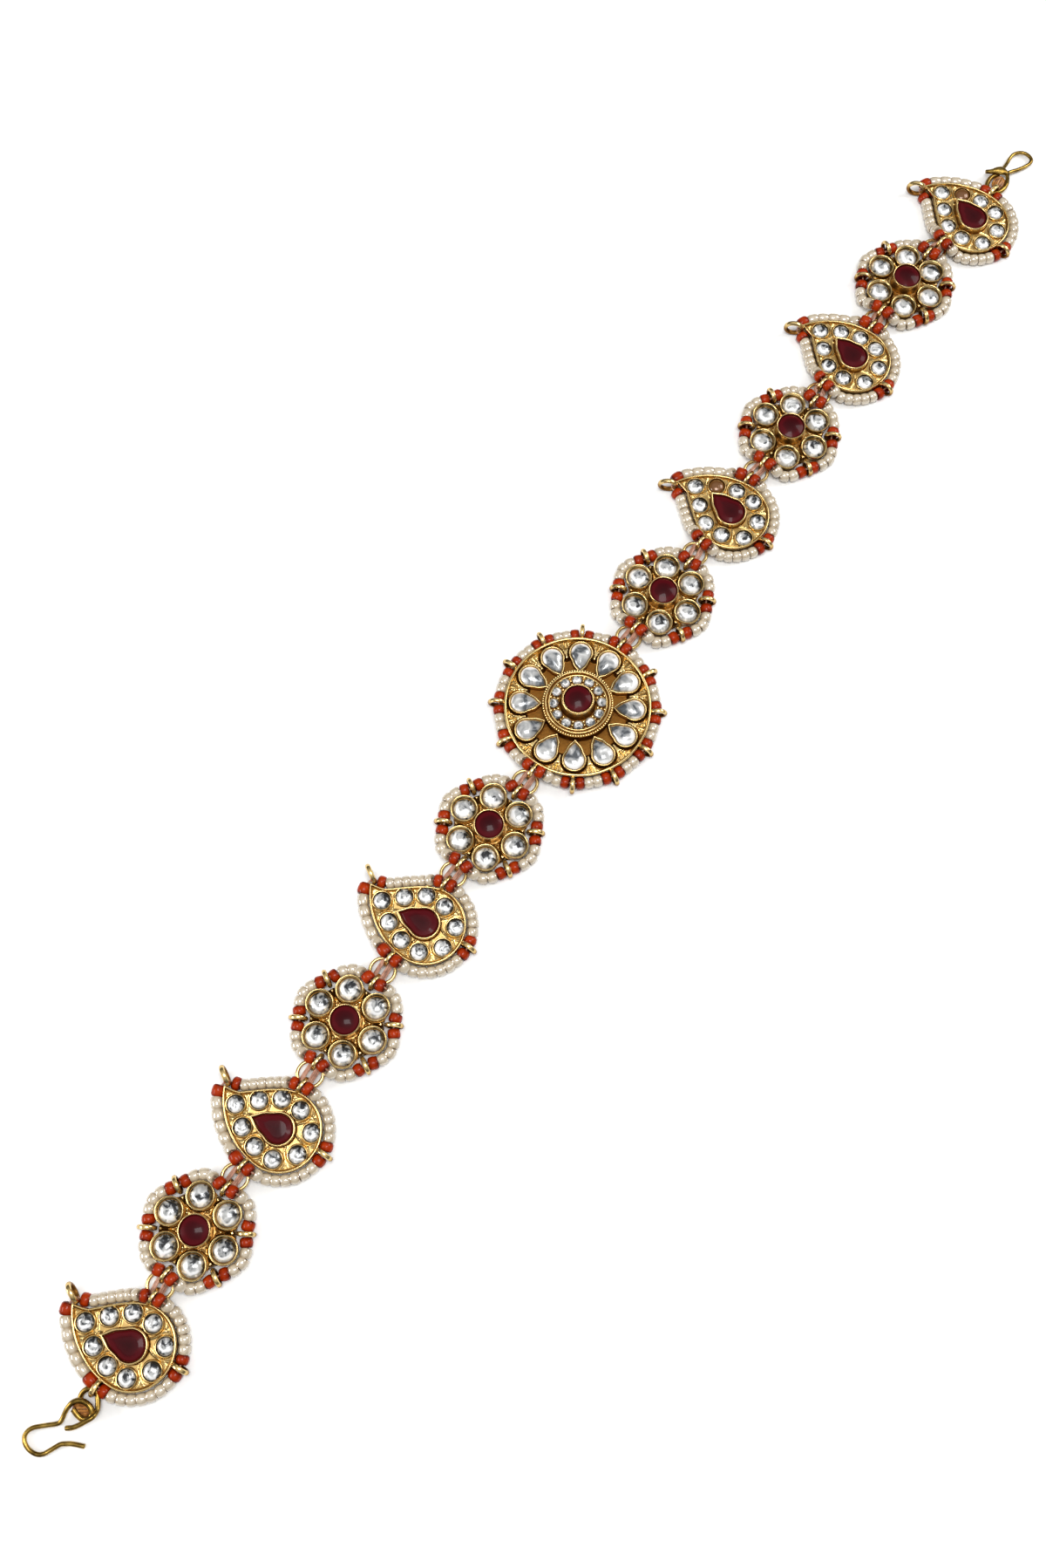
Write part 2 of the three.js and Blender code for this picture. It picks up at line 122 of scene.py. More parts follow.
# Profiles of turned and cast gilt: radius, height, and depth from 0 on an edge to 1 in a hollow,
# which paints the gilt from a painted highlight to painted shade.
PETAL_COLLET = [
    (0, 0.3, 1), (2.35, 0.3, 1), (2.5, 1.0, 0.6), (2.52, 1.7, 0.35), (2.6, 2.15, 0.1),
    (2.64, 2.42, 0), (2.6, 2.6, 0), (2.5, 2.66, 0), (2.38, 2.58, 0), (2.26, 2.36, 0.1),
    (2.18, 2.1, 0.3), (2.14, 1.7, 1), (0, 1.3, 1),
]
FLOWER_RUBY_COLLET = [
    (0, 0.6, 1), (3.6, 0.6, 1), (3.25, 1.4, 1), (2.96, 1.9, 0.9), (2.8, 2.7, 0.6),
    (2.8, 3.7, 0.3), (2.88, 3.95, 0), (2.92, 4.2, 0), (2.88, 4.4, 0), (2.78, 4.46, 0),
    (2.68, 4.38, 0), (2.62, 4.2, 0.3), (2.6, 3.6, 1), (0, 3.4, 1),
]
# A paisley's rim is measured inwards from the plate's widest outline.
PAISLEY_RIM = [
    (0.3, 0, 0.9), (0.08, 0.2, 0.6), (0.1, 1.5, 0.5), (0.02, 1.85, 0.1), (0, 2.3, 0),
    (0.08, 2.52, 0), (0.24, 2.58, 0), (0.38, 2.5, 0), (0.44, 2.2, 0.6), (0.52, 2.06, 1),
    (0.64, 2.06, 0.8), (0.74, 2.12, 0.3),
]
PAISLEY_GROUND_HEIGHT = 2.1
PAISLEY_STONE_RING = [
    (2.04, 1.9, 1), (1.96, 2.1, 0.9), (1.9, 2.32, 0.2), (1.8, 2.44, 0), (1.7, 2.42, 0),
    (1.64, 2.25, 0.4), (1.6, 1.6, 1), (0, 1.5, 1),
]
PAISLEY_RUBY_COLLET = [
    (3.3, 1.6, 1), (3.14, 2.0, 1), (3.04, 2.5, 0.6), (3.02, 3.0, 0.2), (3.1, 3.22, 0),
    (3.08, 3.44, 0), (2.96, 3.56, 0), (2.82, 3.54, 0), (2.72, 3.4, 0), (2.67, 3.1, 0.5),
    (2.65, 2.6, 1), (0, 2.5, 1),
]
MEDALLION_RIM = [
    (0, 0, 1), (13.3, 0, 1), (13.5, 0.3, 0.7), (13.5, 2.2, 0.6), (13.95, 2.5, 0.2),
    (14.2, 2.75, 0), (14.24, 3.0, 0), (14.12, 3.2, 0), (13.92, 3.27, 0), (13.74, 3.2, 0),
    (13.62, 3.0, 0.1), (13.54, 2.7, 0.5), (13.46, 2.4, 0.8), (13.4, 1.8, 1),
]
PEAR_COLLET = [
    (2.38, 1.6, 1), (2.3, 2.3, 0.9), (2.28, 2.8, 0.5), (2.36, 3.1, 0), (2.34, 3.3, 0),
    (2.24, 3.4, 0), (2.12, 3.38, 0), (2.04, 3.22, 0.2), (2.01, 2.9, 1), (0, 2.5, 1),
]
CUP = [
    (7.05, 1.6, 1), (6.6, 2.0, 1), (6.34, 3.1, 1), (6.38, 3.9, 1), (6.84, 4.35, 0.9),
    (6.84, 4.45, 0.8), (6.4, 4.55, 1), (6.32, 4.9, 0.3), (6.32, 5.1, 0), (6.22, 5.24, 0),
    (6.08, 5.22, 0), (5.98, 5.05, 0.3), (5.92, 4.7, 1), (5.72, 4.7, 1), (5.68, 4.95, 0.2),
    (5.6, 5.06, 0), (5.44, 5.04, 0), (5.34, 4.85, 0.3), (5.28, 4.55, 1), (4.62, 4.45, 0.8),
    (3.5, 4.5, 0.9), (3.2, 4.4, 1),
]
CUP_RUBY_COLLET = [
    (3.6, 4.3, 1), (3.3, 4.8, 1), (3.1, 5.4, 0.8), (3.02, 6.3, 0.5), (3.12, 6.55, 0),
    (3.12, 6.85, 0), (3.0, 7.04, 0), (2.84, 7.08, 0), (2.72, 6.95, 0), (2.66, 6.7, 0.5),
    (2.63, 6.2, 1), (0, 5.9, 1),
]

# Stones: radius, height, and depth from 0 in the middle to 1 at the edge. Depth paints a clear
# stone's brim with a painted reflection of its setting and a ruby's edge with a painted crimson
# glow.
PETAL_STONE = [
    (2.13, 1.3, 1), (2.12, 1.7, 1), (2.0, 2.0, 0.92), (1.66, 2.35, 0.78), (1.14, 2.65, 0.5),
    (0.52, 2.8, 0.25), (0, 2.84, 0),
]
PAISLEY_STONE = [
    (1.6, 1.5, 1), (1.59, 1.95, 1), (1.48, 2.25, 0.92), (1.2, 2.52, 0.75), (0.78, 2.7, 0.5),
    (0.35, 2.78, 0.25), (0, 2.8, 0),
]
PEAR_STONE = [
    (2.0, 2.5, 1), (1.99, 2.95, 1), (1.86, 3.2, 0.9), (1.5, 3.48, 0.72), (1.0, 3.7, 0.5),
    (0.45, 3.82, 0.25), (0, 3.84, 0),
]
RHINESTONE = [(0.94, 4.5, 1), (0.94, 4.95, 1), (0.56, 5.3, 0.5), (0, 5.32, 0)]
ROUND_RUBY = [
    (2.59, -0.6, 1), (2.59, -0.05, 1), (2.42, 0.12, 0.9), (1.8, 0.36, 0.6), (1.1, 0.56, 0.3),
    (0.5, 0.67, 0.1), (0, 0.7, 0),
]
PEAR_RUBY = [(2.63, 2.5, 1), (2.61, 3.1, 1), (2.3, 3.34, 0.85), (1.5, 3.54, 0.5), (0, 3.58, 0)]

# The paisley's stones from its tip down the bow and back up, and the pear ruby in its middle.
PAISLEY_STONES = np.array([
    (-0.9, 7.8), (-3.4, 4.3), (-4.8, 0.4), (-4.7, -3.6), (-1.5, -6.7),
    (3.0, -6.4), (5.0, -2.4), (4.7, 1.6), (2.1, 4.8),
])
PAISLEY_RUBY_PLACE = (0.1, -1.3, 12)
# Stones whose foil has come off, by plate and number, and the highest tone of the others.
BARE_STONES = [("paisley_4", 1), ("paisley_6", 1)]
FOILED_TONE = 0.9
# The paisley's round body as its middle and radius, its tip, and where its flank turns to it.
PAISLEY_BODY = (0.1, -1.65, 7.5)
PAISLEY_TIP = (0.6, 11.7)
PAISLEY_NECK = (1.3, 8.6)
# How far off the tip its loop stands, and nearer to the plate, where the string crosses it.
LOOP_STAND_OFF = 1.0
STRING_STAND_OFF = 0.7
TIP_LOOP_ANGLE = math.radians(60)
TIP_LOOP_SIZE = 1.15
# How far a pear's tip stands from the middle of its round end, in radii, and its side's bow.
PAISLEY_RUBY_TIP = 1.9
MEDALLION_PEAR_TIP = 1.8
PEAR_BOW = 0.1
# The height at which a round ruby's girdle sits in its collet.
FLOWER_RUBY_HEIGHT = 4.05
MEDALLION_RUBY_HEIGHT = 6.9

RING_RADIUS = 2.35
RING_HEIGHT = 1.42
# Strings: how far outside a paisley they run, how far inside its outline their line starts
# from, which rounds its tip, how far a loop keeps the first bead off, and how the beads climb
# over a jump ring.
STRING_OUTSET = 1.2
STRING_INSET = 0.8
BEAD_REACH = 0.55
TIP_BEAD_REACH = 1.2
# The string inside the beads is thinner than the thread at the joints, by this share.
STRING_THREAD = 0.8
STRING_HEIGHT = 1.17
MEDALLION_STRING_RADIUS = 15.12
MEDALLION_STRING_LIFT = 0.4
CLIMB = 1.7
CLIMB_START = 1.6
CLIMB_END = 5.0

# The wires' routes, in millimetres from the medallion's middle.
NEAR_HOOK_ROUTE = [
    (-157.4, -7.6, 0.45), (-158.4, -5.5, 0.45), (-158.9, -4.8, 0.45), (-159.5, -4.1, 0.5),
    (-161.3, -3.25, 0.6), (-162.3, -2.75, 0.7), (-162.9, -2.1, 0.7), (-163.2, -1.2, 0.7),
    (-163.2, 0, 0.7), (-162.8, 1.05, 0.7), (-162.1, 1.7, 0.7), (-161.25, 1.85, 0.7),
    (-160.3, 1.5, 0.7), (-158.4, -0.35, 0.7), (-157.4, -1.4, 0.8), (-156.8, -1.8, 0.9),
    (-155.9, -1.75, 1.1), (-154.9, -1.55, 1.4), (-153.9, -1.5, 1.7), (-153.0, -1.65, 1.95),
    (-152.2, -2.15, 2.0), (-151.7, -3.0, 2.0), (-151.6, -4.2, 2.0), (-152.0, -5.2, 1.9),
    (-152.7, -5.6, 1.7), (-153.5, -5.4, 1.7), (-154.0, -4.6, 1.75), (-153.95, -3.5, 1.8),
    (-153.7, -2.5, 1.8),
]
NEAR_END_RING_ROUTE = [
    (-153.1, -3.4, 1.2), (-152.4, -2.6, 0.7), (-151.7, -2.0, 0.65), (-150.9, -1.85, 0.8),
    (-150.0, -2.15, 1.0), (-149.3, -2.9, 1.2), (-149.2, -3.7, 1.35), (-149.7, -4.4, 1.4),
    (-150.5, -5.2, 1.5), (-151.4, -5.85, 1.8), (-152.5, -6.1, 2.7), (-153.7, -5.6, 2.85),
    (-154.9, -5.0, 2.75), (-155.9, -4.3, 2.6), (-156.6, -3.5, 2.3),
]
FAR_HOOK_ROUTE = [
    (151.6, -2.4, 1.9), (152.8, -3.3, 1.6), (154.4, -3.7, 1.2), (155.9, -3.7, 0.9),
    (157.6, -3.55, 0.8), (158.8, -3.65, 0.8), (159.7, -4.15, 0.8), (160.3, -4.9, 0.8),
    (160.55, -6, 0.8), (160.3, -7, 0.8), (159.8, -7.6, 0.8), (158.9, -7.7, 0.8),
    (157.7, -7.3, 0.8), (156.1, -6.45, 0.8), (154.8, -5.65, 1.0), (153.7, -5.2, 1.2),
    (152.5, -5.8, 1.3), (151.1, -6.4, 1.4), (149.9, -6.5, 1.4), (148.6, -6.2, 1.4),
    (147.5, -5.4, 1.4), (147.2, -4.4, 1.4), (147.9, -3.4, 1.35), (149.3, -2.85, 1.3),
    (151.0, -2.9, 1.2), (152.4, -3.7, 1.0),
]

# The tone that turns thread to its waxed brown, and the first numbers of the random draws.
WAXED_TONE = 1.0
STONE_SEED = 11
BEAD_SEED = 100

# The paper's half width, the camera's place and target from the medallion's middle, its roll in
# degrees and its lens.
PAPER_HALF = 900
CAMERA_PLACE = (-90.2, -54.1, 297.1)
CAMERA_TARGET = (-18.6, -0.3, 2.6)
CAMERA_ROLL = -1.42
CAMERA_LENS = 37.23


# ---------------------------------------------------------------- surfaces


class Surface(NamedTuple):
    """Points in millimetres, quads between them, and what the materials read at each point."""

    points: np.ndarray
    faces: np.ndarray
    depth: np.ndarray
    tone: np.ndarray
    face_place: np.ndarray


def grid_surface(points, depth=0.0, closed=False):
    """A grid of points, rows by columns, with one quad between each four neighbours. The last
    column is joined to the first, and `closed` joins the last row to the first."""
    rows, columns = points.shape[:2]
    index = np.arange(rows * columns).reshape(rows, columns)
    index = np.concatenate([index, index[:, :1]], axis=1)
    if closed:
        index = np.concatenate([index, index[:1]], axis=0)
    corners = [index[:-1, :-1], index[:-1, 1:], index[1:, 1:], index[1:, :-1]]
    flat = points.reshape(-1, 3)
    depths = np.broadcast_to(depth, (rows, columns)).reshape(-1)
    return Surface(
        flat, np.stack(corners, axis=-1).reshape(-1, 4), depths, np.zeros(len(flat)), flat[:, :2]
    )


def joined(surfaces):
    """Several surfaces as one, each one's quads counted on from the points before it."""
    starts = np.cumsum([0] + [len(s.points) for s in surfaces[:-1]])
    return Surface(
        np.concatenate([s.points for s in surfaces]),
        np.concatenate([s.faces + start for s, start in zip(surfaces, starts)]),
        *(np.concatenate([s[i] for s in surfaces]) for i in (2, 3, 4)),
    )


def copies(one, places, frames, tones=0.0):
    """Copies of a surface: each point is turned and sized by its copy's frame, then moved."""
    points = np.einsum("nij,mj->nmi", frames, one.points) + np.asarray(places)[:, None]
    count, size = points.shape[:2]
    faces = one.faces[None] + (np.arange(count) * size)[:, None, None]
    return Surface(
        points.reshape(-1, 3),
        faces.reshape(-1, 4),
        np.tile(one.depth, count),
        np.repeat(np.broadcast_to(tones, count), size),
        np.tile(one.face_place, (count, 1)),
    )


def turns(angles):
    """Frames that turn about +Z by each angle in radians."""
    angles = np.atleast_1d(angles)
    frames = np.zeros((len(angles), 3, 3))
    frames[:, 0, 0] = frames[:, 1, 1] = np.cos(angles)
    frames[:, 1, 0] = np.sin(angles)
    frames[:, 0, 1] = -frames[:, 1, 0]
    frames[:, 2, 2] = 1
    return frames


def full_turn(count):
    """Angles evenly round a full turn, from zero."""
    return np.arange(count) / count * TURN


def around_circle(radius, count, start=0.0, height=0.0):
    """Places evenly round a circle, and the angle of each."""
    angles = start + full_turn(count)
    x, y = radius * np.cos(angles), radius * np.sin(angles)
    return np.stack([x, y, np.full(count, height)], axis=1), angles


def circle(count):
    """A circle of radius one as points."""
    return around_circle(1, count)[0][:, :2]


def softened(corners):
    """Corner cutting: each side keeps its points at a quarter and at three quarters."""
    line = np.asarray(corners, float)
    near = 0.75 * line[:-1] + 0.25 * line[1:]
    far = 0.25 * line[:-1] + 0.75 * line[1:]
    middle = np.stack([near, far], axis=1).reshape(-1, line.shape[1])
    return np.concatenate([line[:1], middle[1:-1], line[-1:]])


def raised(plan, height, depth):
    """A surface over a grid of plan points: each point at its own height and depth."""
    return grid_surface(np.concatenate([plan, height[..., None]], axis=-1), depth)


def turned(profile, outline):
    """A profile carried round an outline: the outline's points times the profile's radius, at
    the profile's height."""
    profile = np.asarray(profile, float)
    plan = profile[:, None, :1] * outline[None]
    return raised(plan, np.broadcast_to(profile[:, 1:2], plan.shape[:2]), profile[:, 2:3])


def pear_outline(tip, count):
    """A pear round a circle of radius one, with its tip on +Y. From the tip a tangent runs to
    the circle, bowed out by a squared sine, then the circle runs round to the other tangent,
    which runs back to the tip."""
    spread = math.acos(1 / tip)
    side = math.sqrt(tip * tip - 1)
    arc = TURN - 2 * spread
    way = np.arange(count) / count * (arc + 2 * side)
    back = way > side + arc
    along = np.clip(np.where(back, arc + 2 * side - way, way) / side, 0, 1)
    angle = math.pi / 2 + spread + np.clip(way - side, 0, arc)
    touch = np.stack([np.cos(angle), np.sin(angle)], axis=1)
    straight = (way < side) | back
    bowed = PEAR_BOW * np.sin(math.pi * along) ** 2
    on_side = np.array([0, tip]) * (1 - along)[:, None] + touch * (along + bowed)[:, None]
    return np.where(straight[:, None], on_side, touch)


def smooth_path(stops, steps, closed=False):
    """A centripetal Catmull-Rom curve: between two stops a cubic whose slope at each end is
    blended from the gaps on both sides, weighted by the square root of their lengths."""
    p = np.asarray(stops, float)
    if closed:
        before, here, there, beyond = (np.roll(p, k, axis=0) for k in (1, 0, -1, -2))
    else:
        padded = np.concatenate([[2 * p[0] - p[1]], p, [2 * p[-1] - p[-2]]])
        before, here, there, beyond = padded[:-3], padded[1:-2], padded[2:-1], padded[3:]
    gaps = [
        np.sqrt(np.linalg.norm(b - a, axis=1))[:, None]
        for a, b in ((before, here), (here, there), (there, beyond))
    ]

    def slope(a, b, c, first, second):
        """The slope at b of the parabola through a, b and c, times the middle gap."""
        return ((b - a) / first - (c - a) / (first + second) + (c - b) / second) * gaps[1]

    leave = slope(before, here, there, gaps[0], gaps[1])
    arrive = slope(here, there, beyond, gaps[1], gaps[2])
    t = (np.arange(steps) / steps)[None, :, None]
    curve = (
        (2 * t**3 - 3 * t**2 + 1) * here[:, None]
        + (t**3 - 2 * t**2 + t) * leave[:, None]
        + (3 * t**2 - 2 * t**3) * there[:, None]
        + (t**3 - t**2) * arrive[:, None]
    ).reshape(-1, p.shape[1])
    return curve if closed else np.concatenate([curve, p[-1:]])


def distances_along(path):
    """The distance from the first point of a path to each of its points."""
    steps = np.linalg.norm(np.diff(path, axis=0), axis=1)
    return np.concatenate([[0], np.cumsum(steps)])


def at_distances(path, along, wanted):
    """The points of a path at the wanted distances along it."""
    return np.stack([np.interp(wanted, along, column) for column in path.T], axis=1)


def even_loop(path, count):
    """A closed path as evenly spaced points."""
    looped = np.concatenate([path, path[:1]])
    along = distances_along(looped)
    return at_distances(looped, along, np.arange(count) / count * along[-1])


def directions(path, closed):
    """Along, sideways and upwards at each point of a path that never runs straight up."""
    ahead = np.roll(path, -1, axis=0) - np.roll(path, 1, axis=0)
    if not closed:
        ahead[0], ahead[-1] = path[1] - path[0], path[-1] - path[-2]
    ahead /= np.linalg.norm(ahead, axis=1)[:, None]
    side = np.cross(ahead, UP)
    side /= np.linalg.norm(side, axis=1)[:, None]
    return ahead, side, np.cross(side, ahead)


def tube(path, width, height, sides, closed=False, depth=0.0):
    """A wire or thread: an ellipse of the given half width and half height, square to the path
    at each of its points. An open one ends in a flat cut with a worn edge."""
    path = np.asarray(path, float)
    ahead, side, over = directions(path, closed)
    angle = full_turn(sides)
    wide = np.broadcast_to(width, len(path))[:, None, None]
    tall = np.broadcast_to(height, len(path))[:, None, None]
    flat_part = side[:, None] * np.cos(angle)[:, None] * wide
    ring = flat_part - over[:, None] * np.sin(angle)[:, None] * tall
    points = path[:, None] + ring
    if closed:
        return grid_surface(points, depth, closed=True)
    worn = 0.25 * float(np.mean(tall))
    start = path[0] - worn * ahead[0]
    end = path[-1] + worn * ahead[-1]
    whole = [
        np.broadcast_to(start, (1, sides, 3)), (start + 0.75 * ring[0])[None],
        points,
        (end + 0.75 * ring[-1])[None], np.broadcast_to(end, (1, sides, 3)),
    ]
    return grid_surface(np.concatenate(whole), depth)


def upright_loop():
    """A rim loop on edge: a ring of wire whose circle stands over the x axis. It is deepest, and so
    painted in shade, where it meets the plate's foot."""
    around, sides = 22, 9
    angles = -full_turn(around)
    middle = np.stack([np.cos(angles), 0 * angles, np.sin(angles)], axis=1)
    across = full_turn(sides)
    out = LOOP_RADIUS + LOOP_WIRE * np.cos(across)
    points = middle[:, None] * out[None, :, None]
    points[..., 1] = 1.15 * LOOP_WIRE * np.sin(across)
    points[..., 2] += LOOP_HEIGHT
    deep = np.clip(0.9 - (points[..., 2] - LOOP_HEIGHT) / 1.2, 0, 1)
    return grid_surface(points, deep, closed=True)


def grain(radius):
    """A small gilt ball, eight columns of four bands."""
    angle = np.linspace(-math.pi / 2, math.pi / 2, 5)
    profile = np.stack([radius * np.cos(angle), radius * np.sin(angle), 0 * angle], axis=1)
    # The ball's bottom point is deepest, so the gilt paints it in shade.
    profile[0, 2] = 1
    return turned(profile, circle(8))


def faced(surface, radius=0.0, turn=0.0):
    """A stone whose face places are shares of its radius, turned by an angle."""
    plan = surface.points[:, :2] @ turns(turn)[0][:2, :2].T
    return surface._replace(face_place=plan / (radius or np.abs(plan).max()))


def laid(surface, plate):
    """A surface drawn about a plate's middle, in that plate's place in the chain. A stone's
    face keeps its own right and left in a mirrored plate."""
    mirror = np.array([-1.0 if plate.mirrored else 1.0, 1.0, 1.0])
    points = (surface.points * mirror) @ turns(math.radians(plate.turn))[0].T
    points = points + np.array([plate.x, plate.y, 0]) + CHAIN_ORIGIN
    faces = surface.faces[:, ::-1] if plate.mirrored else surface.faces
    return surface._replace(points=points, faces=faces, face_place=surface.face_place * mirror[:2])


def add_piece(name, surface, material, stands_for=(), crease=35.0):
    rounded = np.round(surface.points * 2e4).astype(np.int64)
    _, first, where = np.unique(rounded, axis=0, return_index=True, return_inverse=True)
    faces = where.reshape(-1)[surface.faces]
    kept = faces != np.roll(faces, -1, axis=1)
    whole = kept.sum(axis=1) >= 3
    faces, kept = faces[whole], kept[whole]
    corners = faces[kept]
    starts = np.concatenate([[0], np.cumsum(kept.sum(axis=1))[:-1]])
    mesh = bpy.data.meshes.new(name)
    mesh.vertices.add(len(first))
    mesh.vertices.foreach_set("co", (surface.points[first] * MM).astype(np.float32).ravel())
    mesh.loops.add(len(corners))
    mesh.loops.foreach_set("vertex_index", corners.astype(np.int32))
    mesh.polygons.add(len(starts))
    mesh.polygons.foreach_set("loop_start", starts.astype(np.int32))
    mesh.update(calc_edges=True)
    for label, values in (("depth", surface.depth), ("tone", surface.tone)):
        attribute = mesh.attributes.new(label, "FLOAT", "POINT")
        attribute.data.foreach_set("value", values[first].astype(np.float32))
    uv = mesh.uv_layers.new(name="face_place")
    places = surface.face_place[surface.faces[whole]][kept]
    uv.uv.foreach_set("vector", places.astype(np.float32).ravel())
    mesh.polygons.foreach_set("use_smooth", np.ones(len(starts), bool))
    mesh.set_sharp_from_angle(angle=math.radians(crease))
    mesh.materials.append(material)
    if mesh.validate():
        raise ValueError(f"{name} held faces that aren't real")
    piece = bpy.data.objects.new(name, mesh)
    bpy.context.scene.collection.objects.link(piece)
    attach(piece, BODY)
    if stands_for:
        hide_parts(*stands_for)
    return piece


# ---------------------------------------------------------------- materials


def linear(hex_colour):
    """An sRGB hex colour as linear red, green and blue, with alpha one."""
    parts = [int(hex_colour[i : i + 2], 16) / 255 for i in (0, 2, 4)]
    return [c / 12.92 if c <= 0.04045 else ((c + 0.055) / 1.055) ** 2.4 for c in parts] + [1.0]


def toned(colour, red, green, blue):
    """A colour with each channel times its share, kept under one."""
    return [min(1.0, c * share) for c, share in zip(colour, (red, green, blue))] + [1.0]


def add_node(tree, kind, settings=None, inputs=None):
    """Adds a node with its settings; an input given as a socket is linked, else it is set."""
    node = tree.nodes.new(kind)
    for key, value in (settings or {}).items():
        setattr(node, key, value)
    for key, value in (inputs or {}).items():
        if isinstance(value, bpy.types.NodeSocket):
            tree.links.new(value, node.inputs[key])
        else:
            node.inputs[key].default_value = value
    return node


def set_ramp(node, stops):
    """Gives a colour ramp its stops, each a place and a linear colour."""
    ramp = node.color_ramp
    while len(ramp.elements) > len(stops):
        ramp.elements.remove(ramp.elements[-1])
    while len(ramp.elements) < len(stops):
        ramp.elements.new(1.0)
    for element, (place, colour) in zip(ramp.elements, stops):
        element.position = place
        element.color = colour
    return node.outputs["Color"]


def new_material(name, **constants):
    """A material with one Principled BSDF whose named sockets hold plain numbers, or the one
    of that name made before, with no tree."""
    found = bpy.data.materials.get(name)
    if found:
        return found, None, None
    material = bpy.data.materials.new(name)
    material.use_nodes = True
    tree = material.node_tree
    shader = tree.nodes["Principled BSDF"]
    for key, value in constants.items():
        shader.inputs[key.replace("_", " ")].default_value = value
    return material, tree, shader


def gilt_brass():
    """Cast copper alloy under bright gold plating: mirror-bright on edges, duller in the hollows,
    where the casting left a fine pitted skin. Its colour follows depth: lemon yellow on edges as
    painted highlight, browner in the hollows as painted shade."""
    material, tree, shader = new_material("gilt_cast_brass", Metallic=1.0)
    if tree is None:
        return material
    gilt = bpy.context.scene.matha_patti_colours.gilt
    place = add_node(tree, "ShaderNodeTexCoord").outputs["Object"]
    depth = add_node(tree, "ShaderNodeAttribute", {"attribute_name": "depth"}).outputs["Fac"]
    # Blotches of the plating, about a millimetre and a half across.
    blotch = add_node(
        tree, "ShaderNodeTexNoise", None, {"Vector": place, "Scale": 700.0, "Detail": 3.0}
    ).outputs["Fac"]
    # Painted light: depth paints edges paler as highlight and hollows browner as shade, with the
    # plating's blotches mixed in.
    blotch_and_shade = add_node(
        tree, "ShaderNodeMath", {"operation": "MULTIPLY_ADD"}, {0: blotch, 1: 0.16, 2: depth}
    ).outputs[0]
    centred = add_node(
        tree, "ShaderNodeMath", {"operation": "SUBTRACT"}, {0: blotch_and_shade, 1: 0.08}
    ).outputs[0]
    ramp = add_node(tree, "ShaderNodeValToRGB", None, {"Fac": centred})
    colour = set_ramp(ramp, [
        (0.0, toned(gilt, 1.04, 1.04, 0.95)), (0.22, toned(gilt, 0.88, 0.84, 0.71)),
        (0.45, toned(gilt, 0.64, 0.55, 0.38)), (0.75, toned(gilt, 0.42, 0.29, 0.13)),
        (1.0, toned(gilt, 0.27, 0.16, 0.065)),
    ])
    tree.links.new(colour, shader.inputs["Base Color"])
    rough = add_node(
        tree, "ShaderNodeMapRange", None, {"Value": centred, "To Min": 0.22, "To Max": 0.42}
    ).outputs["Result"]
    tree.links.new(rough, shader.inputs["Roughness"])
    # Pits of about a third of a millimetre, drawn as coarse as they need to show.
    pits = add_node(
        tree, "ShaderNodeTexNoise", None, {"Vector": place, "Scale": 2600.0, "Detail": 2.0}
    ).outputs["Fac"]
    hollow = add_node(
        tree, "ShaderNodeMapRange", None, {"Value": depth, "From Min": 0.2, "From Max": 1.0}
    ).outputs["Result"]
    skin = add_node(tree, "ShaderNodeMath", {"operation": "MULTIPLY"}, {0: pits, 1: hollow})
    bump = add_node(
        tree, "ShaderNodeBump", None,
        {"Height": skin.outputs[0], "Strength": 0.3, "Distance": 0.00012},
    )
    tree.links.new(bump.outputs["Normal"], shader.inputs["Normal"])
    return material


def worn_wire():
    """Drawn brass wire with its gilding worn thin: yellow where it is rubbed, olive brown
    where it has tarnished."""
    material, tree, shader = new_material("worn_gilt_wire", Metallic=1.0, Roughness=0.26)
    if tree is None:
        return material
    wire = bpy.context.scene.matha_patti_colours.wire
    place = add_node(tree, "ShaderNodeTexCoord").outputs["Object"]
    # Patches of tarnish nearly two millimetres long, with finer ones in them.
    wear = add_node(
        tree, "ShaderNodeTexNoise", None, {"Vector": place, "Scale": 600.0, "Detail": 4.0}
    ).outputs["Fac"]
    ramp = add_node(tree, "ShaderNodeValToRGB", None, {"Fac": wear})
    colour = set_ramp(ramp, [
        (0.3, toned(wire, 0.22, 0.2, 0.17)), (0.52, toned(wire, 0.75, 0.72, 0.66)),
        (0.72, toned(wire, 1.25, 1.3, 1.4)),
    ])
    tree.links.new(colour, shader.inputs["Base Color"])
    bump = add_node(
        tree, "ShaderNodeBump", None, {"Height": wear, "Strength": 0.3, "Distance": 0.00005}
    )
    tree.links.new(bump.outputs["Normal"], shader.inputs["Normal"])
    return material


def pearl_glass():
    """Ceylon seed beads: milky glass with a pearl lustre, cream with a few warmer beads, lighter
    round the middle as painted highlight and darker at each hole as painted shade."""
    material, tree, shader = new_material(
        "cream_ceylon_glass", Roughness=0.3, IOR=1.5, Specular_IOR_Level=0.3, Coat_Weight=1.0,
        Coat_Roughness=0.04, Coat_IOR=2.2,
    )
    if tree is None:
        return material
    cream = bpy.context.scene.matha_patti_colours.cream_bead
    tone = add_node(tree, "ShaderNodeAttribute", {"attribute_name": "tone"}).outputs["Fac"]
    depth = add_node(tree, "ShaderNodeAttribute", {"attribute_name": "depth"}).outputs["Fac"]
    # Each bead's random warmth plus depth: painted highlight on the band, painted shade at the
    # holes.
    shade = add_node(
        tree, "ShaderNodeMath", {"operation": "MULTIPLY_ADD"}, {0: tone, 1: 0.35, 2: depth}
    ).outputs[0]
    ramp = add_node(tree, "ShaderNodeValToRGB", None, {"Fac": shade})
    colour = set_ramp(ramp, [
        (0.0, toned(cream, 1.16, 1.17, 1.19)), (0.6, toned(cream, 1.05, 1.04, 1.02)),
        (1.0, toned(cream, 0.9, 0.83, 0.75)),
    ])
    tree.links.new(colour, shader.inputs["Base Color"])
    return material


